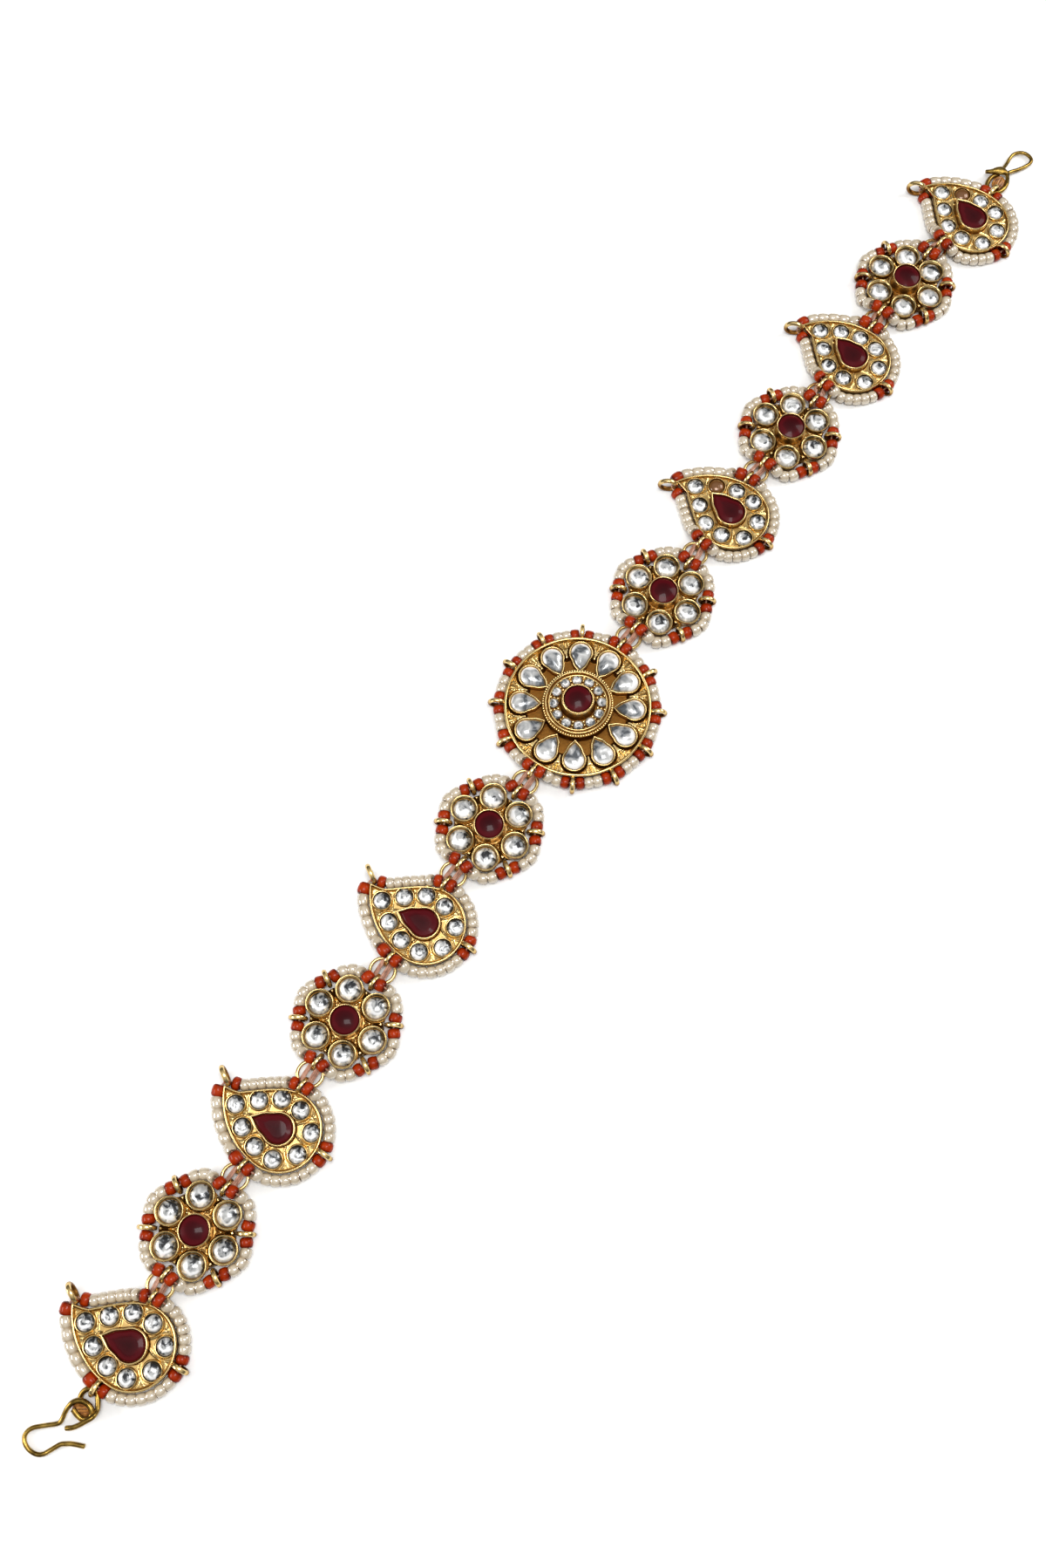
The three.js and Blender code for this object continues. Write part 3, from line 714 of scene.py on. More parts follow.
def red_glass():
    """Pressed orange-red glass beads: a painted glow in the middle, where light gathers in the
    glass, and painted shade at the holes."""
    material, tree, shader = new_material(
        "orange_red_glass", Roughness=0.3, IOR=1.52, Specular_IOR_Level=0.05, Coat_Weight=0.26,
        Coat_Roughness=0.04, Coat_IOR=1.5,
    )
    if tree is None:
        return material
    red = bpy.context.scene.matha_patti_colours.red_bead
    depth = add_node(tree, "ShaderNodeAttribute", {"attribute_name": "depth"}).outputs["Fac"]
    tone = add_node(tree, "ShaderNodeAttribute", {"attribute_name": "tone"}).outputs["Fac"]
    # Depth paints a glow in the middle and shade at the holes; tone varies each bead at random.
    mixed = add_node(
        tree, "ShaderNodeMath", {"operation": "MULTIPLY_ADD"}, {0: tone, 1: 0.3, 2: depth}
    ).outputs[0]
    ramp = add_node(tree, "ShaderNodeValToRGB", None, {"Fac": mixed})
    colour = set_ramp(ramp, [
        (0.0, toned(red, 1.35, 1.6, 1.3)), (0.45, red), (1.0, toned(red, 0.4, 0.3, 0.4)),
    ])
    tree.links.new(colour, shader.inputs["Base Color"])
    return material


def ruby_glass():
    """Deep red glass over dark foil: near black in the middle, with a painted crimson glow of light
    through the glass towards its edge."""
    material, tree, shader = new_material(
        "deep_red_foiled_glass", Roughness=0.3, IOR=1.52, Specular_IOR_Level=0.05,
        Coat_Weight=0.14, Coat_Roughness=0.06,
    )
    if tree is None:
        return material
    ruby = bpy.context.scene.matha_patti_colours.ruby
    depth = add_node(tree, "ShaderNodeAttribute", {"attribute_name": "depth"}).outputs["Fac"]
    place = add_node(tree, "ShaderNodeTexCoord").outputs["Object"]
    # The foil's folds are about three millimetres apart.
    foil = add_node(
        tree, "ShaderNodeTexNoise", None, {"Vector": place, "Scale": 350.0, "Detail": 3.0}
    ).outputs["Fac"]
    # Depth paints the edge brighter as a painted glow; the foil's folds vary it.
    mixed = add_node(
        tree, "ShaderNodeMath", {"operation": "MULTIPLY_ADD"}, {0: foil, 1: 0.7, 2: depth}
    ).outputs[0]
    ramp = add_node(tree, "ShaderNodeValToRGB", None, {"Fac": mixed})
    colour = set_ramp(ramp, [
        (0.3, toned(ruby, 0.62, 0.5, 0.6)), (0.8, ruby), (1.0, toned(ruby, 1.6, 1.6, 1.5)),
    ])
    tree.links.new(colour, shader.inputs["Base Color"])
    return material


def foiled_glass(name, darkest, dark):
    """Clear domed glass over silvered foil, painted with its reflections: mottled greys, darkest to
    one side, and a white crescent on the other, all painted reflection. The two deepest greys are
    given, as a smoother foil is paler. Where the foil has come off, the stone is brown."""
    material, tree, shader = new_material(
        name, Metallic=0.25, Roughness=0.2, Coat_Weight=0.6, Coat_Roughness=0.03
    )
    if tree is None:
        return material
    face = add_node(tree, "ShaderNodeUVMap", {"uv_map": "face_place"}).outputs["UV"]
    depth = add_node(tree, "ShaderNodeAttribute", {"attribute_name": "depth"}).outputs["Fac"]
    tone = add_node(tree, "ShaderNodeAttribute", {"attribute_name": "tone"}).outputs["Fac"]
    # Each stone's tone picks its own slice of both patterns.
    own = add_node(tree, "ShaderNodeMath", {"operation": "MULTIPLY"}, {0: tone, 1: 40.0})
    crumple = add_node(
        tree, "ShaderNodeTexNoise", {"noise_dimensions": "4D"},
        {"Vector": face, "W": own.outputs[0], "Scale": 1.1, "Detail": 1.5},
    )
    bent = add_node(
        tree, "ShaderNodeVectorMath", {"operation": "MULTIPLY_ADD"},
        {0: crumple.outputs["Color"], 1: (0.9, 0.9, 0.0), 2: face},
    ).outputs[0]
    across = add_node(tree, "ShaderNodeSeparateXYZ", None, {"Vector": bent}).outputs["X"]
    # The painted reflection's crescent has its circle near the stone's middle, which the crumple
    # moves by 0.45.
    away = add_node(
        tree, "ShaderNodeVectorMath", {"operation": "DISTANCE"}, {0: bent, 1: (0.5, 0.42, 0.0)}
    ).outputs["Value"]
    band = add_node(tree, "ShaderNodeValToRGB", None, {"Fac": away})
    ring = set_ramp(band, [
        (0.4, linear("000000")), (0.5, linear("ffffff")), (0.66, linear("ffffff")),
        (0.78, linear("000000")),
    ])
    facing = add_node(
        tree, "ShaderNodeMapRange", {"interpolation_type": "SMOOTHSTEP"},
        {"Value": across, "From Min": 0.75, "From Max": 0.35},
    ).outputs["Result"]
    crescent = add_node(tree, "ShaderNodeMath", {"operation": "MULTIPLY"}, {0: ring, 1: facing})
    spots = add_node(
        tree, "ShaderNodeTexNoise", {"noise_dimensions": "4D"},
        {"Vector": face, "W": own.outputs[0], "Scale": 1.5, "Detail": 2.0, "Distortion": 1.0},
    ).outputs["Fac"]
    # The mottled greys are painted reflection, darker towards one side.
    lit = add_node(
        tree, "ShaderNodeMath", {"operation": "MULTIPLY_ADD"}, {0: across, 1: -0.1, 2: spots}
    ).outputs[0]
    mottle = add_node(tree, "ShaderNodeValToRGB", None, {"Fac": lit})
    greys = set_ramp(mottle, [
        (0.34, linear(darkest)), (0.38, linear(dark)), (0.43, linear("9c9d9d")),
        (0.56, linear("c8c8c6")), (0.66, linear("ffffff")),
    ])
    painted_foil_reflection = add_node(
        tree, "ShaderNodeMix", {"data_type": "RGBA"},
        {"Factor": crescent.outputs[0], 6: greys, 7: linear("ffffff")},
    ).outputs[2]
    # The brim is painted a darker brown: a painted reflection of the gilt setting in the glass.
    brim = add_node(
        tree, "ShaderNodeMapRange", None,
        {"Value": depth, "From Min": 0.88, "From Max": 1.0, "To Min": 0.0, "To Max": 0.7},
    ).outputs["Result"]
    rimmed = add_node(
        tree, "ShaderNodeMix", {"data_type": "RGBA"},
        {"Factor": brim, 6: painted_foil_reflection, 7: linear("6c5d4a")},
    ).outputs[2]
    lost = add_node(
        tree, "ShaderNodeMath", {"operation": "GREATER_THAN"}, {0: tone, 1: 0.95}
    ).outputs[0]
    colour = add_node(
        tree, "ShaderNodeMix", {"data_type": "RGBA"},
        {"Factor": lost, 6: rimmed, 7: linear("6e4418")},
    ).outputs[2]
    tree.links.new(colour, shader.inputs["Base Color"])
    bump = add_node(
        tree, "ShaderNodeBump", None, {"Height": spots, "Strength": 0.25, "Distance": 0.0003}
    )
    tree.links.new(bump.outputs["Normal"], shader.inputs["Normal"])
    return material


def beading_thread():
    """Clear nylon beading thread gone pinkish brown, with a soft twisted sheen. Its tone turns
    it to the waxed orange-brown thread of the hooks' eyes."""
    material, tree, shader = new_material(
        "pinkish_nylon_thread", Roughness=0.3, IOR=1.5, Specular_IOR_Level=0.5
    )
    if tree is None:
        return material
    thread = bpy.context.scene.matha_patti_colours.thread
    place = add_node(tree, "ShaderNodeTexCoord").outputs["Object"]
    # The strands turn once in about three quarters of a millimetre.
    twist = add_node(
        tree, "ShaderNodeTexNoise", None, {"Vector": place, "Scale": 1300.0, "Detail": 3.0}
    ).outputs["Fac"]
    ramp = add_node(tree, "ShaderNodeValToRGB", None, {"Fac": twist})
    nylon = set_ramp(ramp, [
        (0.3, toned(thread, 0.55, 0.5, 0.5)), (0.55, thread), (0.75, toned(thread, 1.3, 1.5, 1.6)),
    ])
    waxed = add_node(tree, "ShaderNodeValToRGB", None, {"Fac": twist})
    brown = set_ramp(waxed, [(0.3, linear("643412")), (0.55, linear("a86e2e")),
                             (0.75, linear("d49c56"))])
    tone = add_node(tree, "ShaderNodeAttribute", {"attribute_name": "tone"}).outputs["Fac"]
    colour = add_node(
        tree, "ShaderNodeMix", {"data_type": "RGBA"}, {"Factor": tone, 6: nylon, 7: brown}
    ).outputs[2]
    tree.links.new(colour, shader.inputs["Base Color"])
    return material


def table_paper():
    """Matt white backdrop paper with a faint tooth."""
    material, tree, shader = new_material("matt_white_paper", Roughness=0.9)
    if tree is None:
        return material
    place = add_node(tree, "ShaderNodeTexCoord").outputs["Object"]
    # The paper's fibres lie in clumps of about a millimetre.
    tooth = add_node(
        tree, "ShaderNodeTexNoise", None, {"Vector": place, "Scale": 900.0, "Detail": 3.0}
    ).outputs["Fac"]
    ramp = add_node(tree, "ShaderNodeValToRGB", None, {"Fac": tooth})
    colour = set_ramp(ramp, [(0.2, linear("f9f9f8")), (0.8, linear("fdfdfc"))])
    tree.links.new(colour, shader.inputs["Base Color"])
    return material


# ---------------------------------------------------------------- plates


def rim_loops(reach, count):
    """Upright loops evenly round a plate, each over the line from the middle."""
    places, angles = around_circle(reach, count)
    return copies(upright_loop(), places, turns(angles))


def ridge(distance, width):
    """A rounded ridge: one on its line and falling off as a bell of the given half width."""
    return np.exp(-((distance / width) ** 2))


def step(value, low, high):
    """An eased step from 0 at low to 1 at high."""
    share = np.clip((value - low) / (high - low), 0, 1)
    return share * share * (3 - 2 * share)


def flower_web():
    """The ground between the petals: rows of radii by angles. A ridge runs round each petal's
    collet and a bar runs out to each loop. It dips under the petals' own collets."""
    columns, inner = 240, 2.7
    angle = full_turn(columns)
    outer = 7.35 + 0.5 * np.cos(PETAL_COUNT * (angle - PETAL_START))
    share = np.linspace(0, 1, 40)[::-1, None]
    radius = inner + share * (outer - inner)
    plan = radius[..., None] * circle(columns)[None]
    petals = around_circle(PETAL_CIRCLE, PETAL_COUNT, PETAL_START)[0][:, :2]
    gap = np.linalg.norm(plan[..., None, :] - petals, axis=-1).min(axis=-1)
    off = radius * np.abs(np.sin(3 * angle)) / 3
    # A rib stands 3.1 from each petal's middle, a bar on the line to each loop, and the bar
    # forks 5.2 from the plate's middle.
    rib = ridge(gap - 3.1, 0.17) * step(radius, 3.2, 3.6)
    bar = ridge(off, 0.36) * step(radius, 4.9, 5.6)
    fork = ridge(off - 0.55 * (5.2 - radius), 0.18) * step(5.3 - radius, 0, 0.4)
    outside = step(gap, 2.66, 2.86)
    edge = step(outer - radius, 0.02, 0.25)
    height = 0.9 + edge * outside * (0.85 + 0.3 * rib + 0.42 * bar + 0.25 * fork)
    # Depth paints the gilt: ribs, bars and forks lighter as painted highlight, the ground under the
    # collets and at the web's edge darker as painted shade.
    bright = np.maximum(np.maximum(rib, bar), fork)
    deep = np.clip(0.32 - 0.32 * bright + 0.6 * (1 - outside) + 0.4 * (1 - edge), 0, 1)
    return raised(plan, height, deep)


def flower_setting():
    """A flower's gilt: six petal collets and a tall middle one on a lobed foot and its web."""
    columns = 120
    angle = full_turn(columns)
    lobes = 7.5 + 0.85 * np.cos(PETAL_COUNT * (angle - PETAL_START))
    foot = turned(
        softened([(0, 0, 1), (0.97, 0, 1), (1, 0.2, 0.7), (1, 0.8, 0.6), (0.96, 1.0, 0.7),
                  (0.5, 1.0, 1), (0, 1.0, 1)]),
        circle(columns) * lobes[:, None],
    )
    petals, petal_angles = around_circle(PETAL_CIRCLE, PETAL_COUNT, PETAL_START)
    collets = copies(turned(softened(PETAL_COLLET), circle(48)), petals, turns(petal_angles))
    middle = turned(softened(FLOWER_RUBY_COLLET), circle(64))
    return joined([foot, flower_web(), collets, middle, rim_loops(FLOWER_REACH, PETAL_COUNT)])


def bezier(stops, count):
    """A Bezier curve through its first and last stops, by repeated mixing of neighbours."""
    t = (np.arange(count) / count)[:, None, None]
    points = np.broadcast_to(np.asarray(stops, float), (count, len(stops), 2))
    while points.shape[1] > 1:
        points = (1 - t) * points[:, :-1] + t * points[:, 1:]
    return points[:, 0]


def paisley_edge():
    """The plate's outline from its tip down the bow, round the foot and up the other side."""
    x, y, radius = PAISLEY_BODY
    half_turn = math.pi + np.arange(160) / 160 * math.pi
    foot = np.stack([x + radius * np.cos(half_turn), y + radius * np.sin(half_turn)], axis=1)
    bow = bezier([PAISLEY_TIP, (-3.5, 9.6), (x - radius, 4.5), (x - radius, y)], 160)
    flank = bezier([(x + radius, y), (x + radius, 2.2), (3.6, 5.8), PAISLEY_NECK], 130)
    lean = bezier([PAISLEY_NECK, (0.75, 10.0), PAISLEY_TIP], 50)
    return even_loop(np.concatenate([bow, foot, flank, lean]), 900)


def outward(outline):
    """The direction square to a closed outline that runs anticlockwise, at each point."""
    ahead = np.roll(outline, -1, axis=0) - np.roll(outline, 1, axis=0)
    out = np.stack([ahead[:, 1], -ahead[:, 0]], axis=1)
    return out / np.linalg.norm(out, axis=1)[:, None]


def inset(edge, by, count):
    """An outline moved inwards, without the points that would cross over at the tip, evenly
    spaced from its own tip."""
    inside = edge - by * outward(edge)
    gaps = np.linalg.norm(inside[:, None] - edge[None], axis=2).min(axis=1)
    return even_loop(inside[gaps > 0.97 * by - 1e-6], count)


def paisley_rim(edge, count):
    """The rim and the plate's back, and the rim's innermost row. Each row is the outline inset
    by the profile's width, at the profile's height, and the back's first rows close to the
    plate's middle."""
    profile = softened(PAISLEY_RIM)
    rows = [np.column_stack([inset(edge, row[0], count), np.full(count, row[1])])
            for row in profile]
    middle = np.broadcast_to(rows[0].mean(axis=0), rows[0].shape)
    half = 0.5 * (rows[0] + middle)
    deep = np.concatenate([[1, 1], profile[:, 2]])[:, None]
    return grid_surface(np.stack([middle, half, *rows]), deep), rows[-1]


def placed_ruby(surface):
    """A pear-shaped surface turned and moved to the middle of a paisley."""
    x, y, turn = PAISLEY_RUBY_PLACE
    return copies(surface, [(x, y, 0)], turns(math.radians(turn)))


def paisley_ground(outer):
    """The cast ground between rim and ruby: rows run from one outline to the other. The height
    adds a rib between each two stones and an arc beside each stone, and falls into a round hole
    under each."""
    x, y, turn = PAISLEY_RUBY_PLACE
    low = 1.3
    pear = 2.9 * pear_outline(PAISLEY_RUBY_TIP, len(outer)) @ turns(math.radians(turn))[0][:2, :2].T
    share = np.linspace(0, 1, 44)[:, None, None]
    plan = (1 - share) * outer[:, :2] + share * (pear + (x, y))
    following = np.roll(PAISLEY_STONES, -1, axis=0)
    middles = (PAISLEY_STONES + following) / 2
    ways = following - PAISLEY_STONES
    ways = ways / np.linalg.norm(ways, axis=1)[:, None]
    apart = plan[:, :, None] - middles
    along = (apart * ways).sum(axis=-1)
    off = apart[..., 1] * ways[:, 0] - apart[..., 0] * ways[:, 1]
    # Each rib bends by the square of the way off its middle, and an arc stands 2.45 from a
    # stone's middle on its outer side. A gutter runs round the ruby's collet.
    bend = along - 0.12 * off * off
    ribs = (ridge(bend, 0.16) * (np.abs(off) < 2.6)).max(axis=-1)
    nearest = np.linalg.norm(plan[:, :, None] - PAISLEY_STONES, axis=-1).min(axis=-1)
    arcs = ridge(nearest - 2.45, 0.12) * (off.min(axis=-1) < 0)
    hole = step(nearest, 1.75, 1.95)
    gutter = step(share[..., 0], 0.9, 0.97)
    # Depth paints the gilt: ribs and arcs lighter as painted highlight, the holes and the gutter
    # darker as painted shade.
    bright = np.maximum(ribs, 0.7 * arcs)
    height = low + hole * (PAISLEY_GROUND_HEIGHT - low + 0.2 * bright - 0.3 * gutter)
    deep = np.clip(0.36 - 0.36 * bright + 0.6 * (1 - hole) + 0.6 * gutter, 0, 1)
    return raised(plan, height, deep)


def paisley_loops(stand_off=STRING_STAND_OFF):
    """Each loop's place and angle: beside the tip, and where the chain and the foot need one.
    The tip's place moves away from the plate in a straight line as it stands further off."""
    _, y, radius = PAISLEY_BODY
    tip = (0.55 + 1.43 * stand_off, 11.5 + stand_off)
    near, far = (-PAISLEY_REACH, PAISLEY_REACH_LEVEL), (PAISLEY_REACH, PAISLEY_REACH_LEVEL)
    places = np.array([tip, near, (1.35, y - radius - 1.35), far])
    return places, np.array([TIP_LOOP_ANGLE, math.pi, -math.pi / 2, 0])


def paisley_stone_places():
    """The middles of a paisley's clear stones, at height zero."""
    return np.column_stack([PAISLEY_STONES, np.zeros(len(PAISLEY_STONES))])


def paisley_setting():
    """A paisley's gilt: plate and double rim, ground, stone rings, ruby collet and loops."""
    rim, inner = paisley_rim(paisley_edge(), 300)
    places = paisley_stone_places()
    ring = turned(softened(PAISLEY_STONE_RING), circle(36))
    rings = copies(ring, places, turns(np.zeros(len(places))))
    collet = placed_ruby(turned(softened(PAISLEY_RUBY_COLLET), pear_outline(PAISLEY_RUBY_TIP, 88)))
    plan, angles = paisley_loops(LOOP_STAND_OFF)
    sizes = np.array([TIP_LOOP_SIZE, 1, 1, 1])[:, None, None]
    loop_places = np.column_stack([plan, np.zeros(len(plan))])
    loops = copies(upright_loop(), loop_places, turns(angles) * sizes)
    return joined([rim, paisley_ground(inner), rings, collet, loops])


def medallion_ground():
    """The ground round the cup: low and dark at the pears' points, with an embossed leaf beside
    the rim between each two pears. Each leaf's height ripples from its middle line."""
    outer, inner = 13.5, 6.3
    radius = np.linspace(outer, inner, 60)[:, None]
    columns, pitch = 480, TURN / PEAR_COUNT
    angle = full_turn(columns)[None]
    between = (angle / pitch) % 1 - 0.5
    off = np.abs(between) * TURN / PEAR_COUNT * radius
    pears = around_circle(PEAR_CIRCLE, PEAR_COUNT)[0][:, :2]
    plan = np.stack([radius * np.cos(angle), radius * np.sin(angle)], axis=-1)
    gap = np.linalg.norm(plan[:, :, None] - pears, axis=-1).min(axis=-1)
    # A leaf starts where the pears' collets end. Its veins are its middle line, a line along
    # each collet, and two that open out from the middle line towards the rim.
    leaf = step(gap, 2.4, 2.56) * step(radius, 9.7, 10.3)
    vein = ridge(off, 0.14) + ridge(gap - 2.85, 0.13) + ridge(off - 0.28 * (radius - 10.4), 0.13)
    vein = np.clip(vein, 0, 1) * leaf
    height = 1.8 + 0.7 * leaf + 0.25 * vein
    deep = np.clip(1.1 - 0.72 * leaf - 0.45 * vein, 0, 1)
    return raised(plan, height, deep)


def medallion_setting(grain_radius):
    """The medallion's gilt: a dish with a rim, its ground, twelve pear collets, a raised cup
    with a row of balls round its foot's step, the ruby's collet with a row of fine grains in
    it, and a ring of seats for the rhinestones, with prongs between each two."""
    rim = turned(softened(MEDALLION_RIM), circle(240))
    pears, angles = around_circle(PEAR_CIRCLE, PEAR_COUNT)
    outline = pear_outline(MEDALLION_PEAR_TIP, 60)
    collets = copies(turned(softened(PEAR_COLLET), outline), pears, turns(angles + math.pi / 2))
    cup = turned(softened(CUP), circle(120))
    ruby_collet = turned(softened(CUP_RUBY_COLLET), circle(72))
    outside, outside_angles = around_circle(MILLING_CIRCLE, 84, height=4.6)
    milling = copies(grain(0.21), outside, turns(outside_angles))
    inside, inside_angles = around_circle(FINE_GRAIN_CIRCLE, 60, height=7.06)
    fine = copies(grain(grain_radius), inside, turns(inside_angles))
    seats, seat_angles = around_circle(RHINESTONE_CIRCLE, RHINESTONE_COUNT, RHINESTONE_START)
    seat = turned([(1.24, 4.3, 1), (1.12, 4.65, 0.6), (1.04, 4.84, 0), (0.97, 4.8, 0.4),
                   (0.92, 4.5, 1)], circle(20))
    between = RHINESTONE_START + TURN / RHINESTONE_COUNT / 2
    rows = [around_circle(RHINESTONE_CIRCLE + off, RHINESTONE_COUNT, between, height=4.68)[0]
            for off in (-0.72, 0, 0.72)]
    prong_places = np.concatenate(rows)
    sizes = np.repeat([0.24, 0.17, 0.27], RHINESTONE_COUNT)[:, None, None]
    prongs = copies(grain(1.0), prong_places, turns(np.zeros(len(prong_places))) * sizes)
    return joined([
        rim, medallion_ground(), collets, cup, ruby_collet, milling, fine,
        copies(seat, seats, turns(seat_angles)), prongs, rim_loops(MEDALLION_REACH, PEAR_COUNT),
    ])


# ---------------------------------------------------------------- strings


class StringRoute(NamedTuple):
    """A string's way round a plate: its points and their distances along it, the distance of
    each loop, which of them are links of the chain, and how far each keeps the beads off."""

    path: np.ndarray
    along: np.ndarray
    loops: np.ndarray
    links: np.ndarray
    reaches: np.ndarray


def string_route(plan, loop_places, links, reaches, lift=0.0):
    """The route above a closed plan line. It rises at each link by an eased step, so that the
    beads there lie over the jump ring, and by lift everywhere else."""
    looped = np.concatenate([plan, plan[:1]])
    along = distances_along(looped)
    gaps = np.linalg.norm(plan[None] - np.asarray(loop_places)[:, None], axis=2)
    loops = along[gaps.argmin(axis=1)]
    order = loops.argsort()
    loops, links, reaches = loops[order], np.asarray(links)[order], np.asarray(reaches)[order]
    away = np.abs(along[:, None] - loops[links][None])
    away = np.minimum(away, along[-1] - away).min(axis=1)
    level = step(away, CLIMB_START, CLIMB_END)
    height = STRING_HEIGHT + lift + (CLIMB - lift) * (1 - level)
    return StringRoute(np.column_stack([looped, height]), along, loops, links, reaches)


def flower_route():
    """A smooth line through four stops for each petal: close in at the loops and furthest out
    past the petals. The loops on the x axis are the chain's."""
    stops = np.array([(0, 8.65), (16, 9.35), (30, 9.78), (44, 9.35)])
    petals = np.arange(PETAL_COUNT)[:, None] * 60
    angles = np.radians(petals + stops[:, 0]).ravel()
    radii = np.tile(stops[:, 1], PETAL_COUNT)
    corners = np.stack([radii * np.cos(angles), radii * np.sin(angles)], axis=1)
    plan = smooth_path(corners, 16, closed=True)
    places = around_circle(FLOWER_REACH, PETAL_COUNT)[0][:, :2]
    links = np.isin(np.arange(PETAL_COUNT), (0, PETAL_COUNT // 2))
    return string_route(plan, places, links, [BEAD_REACH] * PETAL_COUNT)


def medallion_route():
    """A circle round the rim, a little above the table. The loops on the x axis are the
    chain's."""
    places = around_circle(MEDALLION_REACH, PEAR_COUNT)[0][:, :2]
    plan = MEDALLION_STRING_RADIUS * circle(720)
    links = np.isin(np.arange(PEAR_COUNT), (0, PEAR_COUNT // 2))
    reaches = [BEAD_REACH] * PEAR_COUNT
    return string_route(plan, places, links, reaches, MEDALLION_STRING_LIFT)


def paisley_route(at_end):
    """The paisley's outline, smoothed by mixing each point with its neighbours so that its tip
    is round, then moved out and drawn in to the tip's loop from both sides. At the chain's ends
    there is no ring to climb over."""
    core = inset(paisley_edge(), STRING_INSET, 400)
    for _ in range(20):
        core = 0.5 * core + 0.25 * (np.roll(core, 1, axis=0) + np.roll(core, -1, axis=0))
    plan = core + (STRING_INSET + STRING_OUTSET) * outward(core)
    places, _ = paisley_loops()
    pull = np.exp(-((np.linalg.norm(plan - places[0], axis=1) / 1.6) ** 2))[:, None]
    plan = even_loop(plan + 0.55 * pull * (places[0] - plan), 600)
    reaches = [TIP_BEAD_REACH, BEAD_REACH, BEAD_REACH, BEAD_REACH]
    return string_route(plan, places, [False, not at_end, False, True], reaches)


def bead_places(route, counts):
    """The distance of each bead's middle along the string, the length of string that it takes,
    and whether it is the first or last between two loops. Between two loops the beads are
    evenly spaced."""
    total = route.along[-1]
    middles, pitches, ends = [], [], []
    for i, count in enumerate(counts):
        start = route.loops[i] + route.reaches[i]
        follow = (i + 1) % len(counts)
        stop = route.loops[follow] + (total if follow == 0 else 0) - route.reaches[follow]
        pitch = (stop - start) / count
        middles.append(start + pitch * (np.arange(count) + 0.5))
        pitches.append(np.full(count, pitch))
        ends.append(np.isin(np.arange(count), (0, count - 1)))
    return np.concatenate(middles) % total, np.concatenate(pitches), np.concatenate(ends)


def seed_bead():
    """A seed bead of radius and half length one along x: a rounded band round a hole."""
    profile = np.array([
        (0.36, -0.86, 1), (0.76, -1.02, 1), (0.95, -0.68, 0.4), (1, 0, 0), (0.95, 0.68, 0.4),
        (0.76, 1.02, 1), (0.36, 0.86, 1),
    ])
    columns = 10
    angle = full_turn(columns)
    points = np.stack([
        np.broadcast_to(profile[:, 1:2], (len(profile), columns)),
        profile[:, :1] * np.cos(angle), profile[:, :1] * np.sin(angle),
    ], axis=-1)
    return grid_surface(points, profile[:, 2:3], closed=True)


def strung_beads(route, counts, sizes, seed):
    """Cream beads and red beads of one string. Each bead lies square to the string, and its
    size and lean differ a little from the next one's."""
    rng = np.random.default_rng(seed)
    middles, pitches, ends = bead_places(route, counts)
    places = at_distances(route.path, route.along, middles)
    ahead = at_distances(route.path, route.along, (middles + 0.05) % route.along[-1]) - places
    ahead = ahead / np.linalg.norm(ahead, axis=1)[:, None]
    ahead = ahead + rng.normal(0, 0.05, ahead.shape)
    ahead /= np.linalg.norm(ahead, axis=1)[:, None]
    side = np.cross(ahead, UP)
    side /= np.linalg.norm(side, axis=1)[:, None]
    over = np.cross(side, ahead)
    count = len(middles)
    radius = np.where(ends, sizes.red_bead, sizes.bead) / 2 / MM
    across = radius * rng.uniform(0.97, 1.03, count)
    half = 0.5 * pitches * rng.uniform(0.96, 1.02, count)
    frames = np.stack([
        ahead * half[:, None], over * across[:, None], side * across[:, None]
    ], axis=2)
    tones = rng.uniform(0, 1, count)
    bead = seed_bead()
    return [copies(bead, places[pick], frames[pick], tones[pick]) for pick in (~ends, ends)]


# ---------------------------------------------------------------- settings


class MathaPattiSizes(bpy.types.PropertyGroup):
    """Sizes of the small parts."""

    bead: FloatProperty(
        name="Cream bead", description="Diameter of a cream seed bead",
        default=2.3 * MM, unit="LENGTH",
    )
    red_bead: FloatProperty(
        name="Red bead", description="Diameter of a red seed bead",
        default=2.45 * MM, unit="LENGTH",
    )
    grain: FloatProperty(
        name="Grain", description="Diameter of a gilt grain round a ruby",
        default=0.26 * MM, unit="LENGTH",
    )
    thread: FloatProperty(
        name="Thread", description="Diameter of the beading thread",
        default=0.42 * MM, unit="LENGTH",
    )
    ring_wire: FloatProperty(
        name="Ring wire", description="Diameter of a jump ring's wire",
        default=0.68 * MM, unit="LENGTH",
    )
    hook_wire: FloatProperty(
        name="Hook wire", description="Diameter of the hooks' wire",
        default=0.9 * MM, unit="LENGTH",
    )


class MathaPattiColours(bpy.types.PropertyGroup):
    """Colours of the finishes."""

    gilt: FloatVectorProperty(
        name="Gilding", description="Gold plating on a flat face",
        subtype="COLOR", size=4, min=0, max=1, default=linear("dcbf88"),
    )
    wire: FloatVectorProperty(
        name="Hook wire", description="Worn gilding on the hooks",
        subtype="COLOR", size=4, min=0, max=1, default=linear("ac8c46"),
    )
    cream_bead: FloatVectorProperty(
        name="Cream bead", description="Milky glass of the cream seed beads",
        subtype="COLOR", size=4, min=0, max=1, default=linear("b9ab94"),
    )
    red_bead: FloatVectorProperty(
        name="Red bead", description="Glass of the red seed beads",
        subtype="COLOR", size=4, min=0, max=1, default=linear("932803"),
    )
    ruby: FloatVectorProperty(
        name="Ruby", description="Deep red glass over dark foil",
        subtype="COLOR", size=4, min=0, max=1, default=linear("3b040a"),
    )
    thread: FloatVectorProperty(
        name="Thread", description="Nylon beading thread",
        subtype="COLOR", size=4, min=0, max=1, default=linear("c29078"),
    )


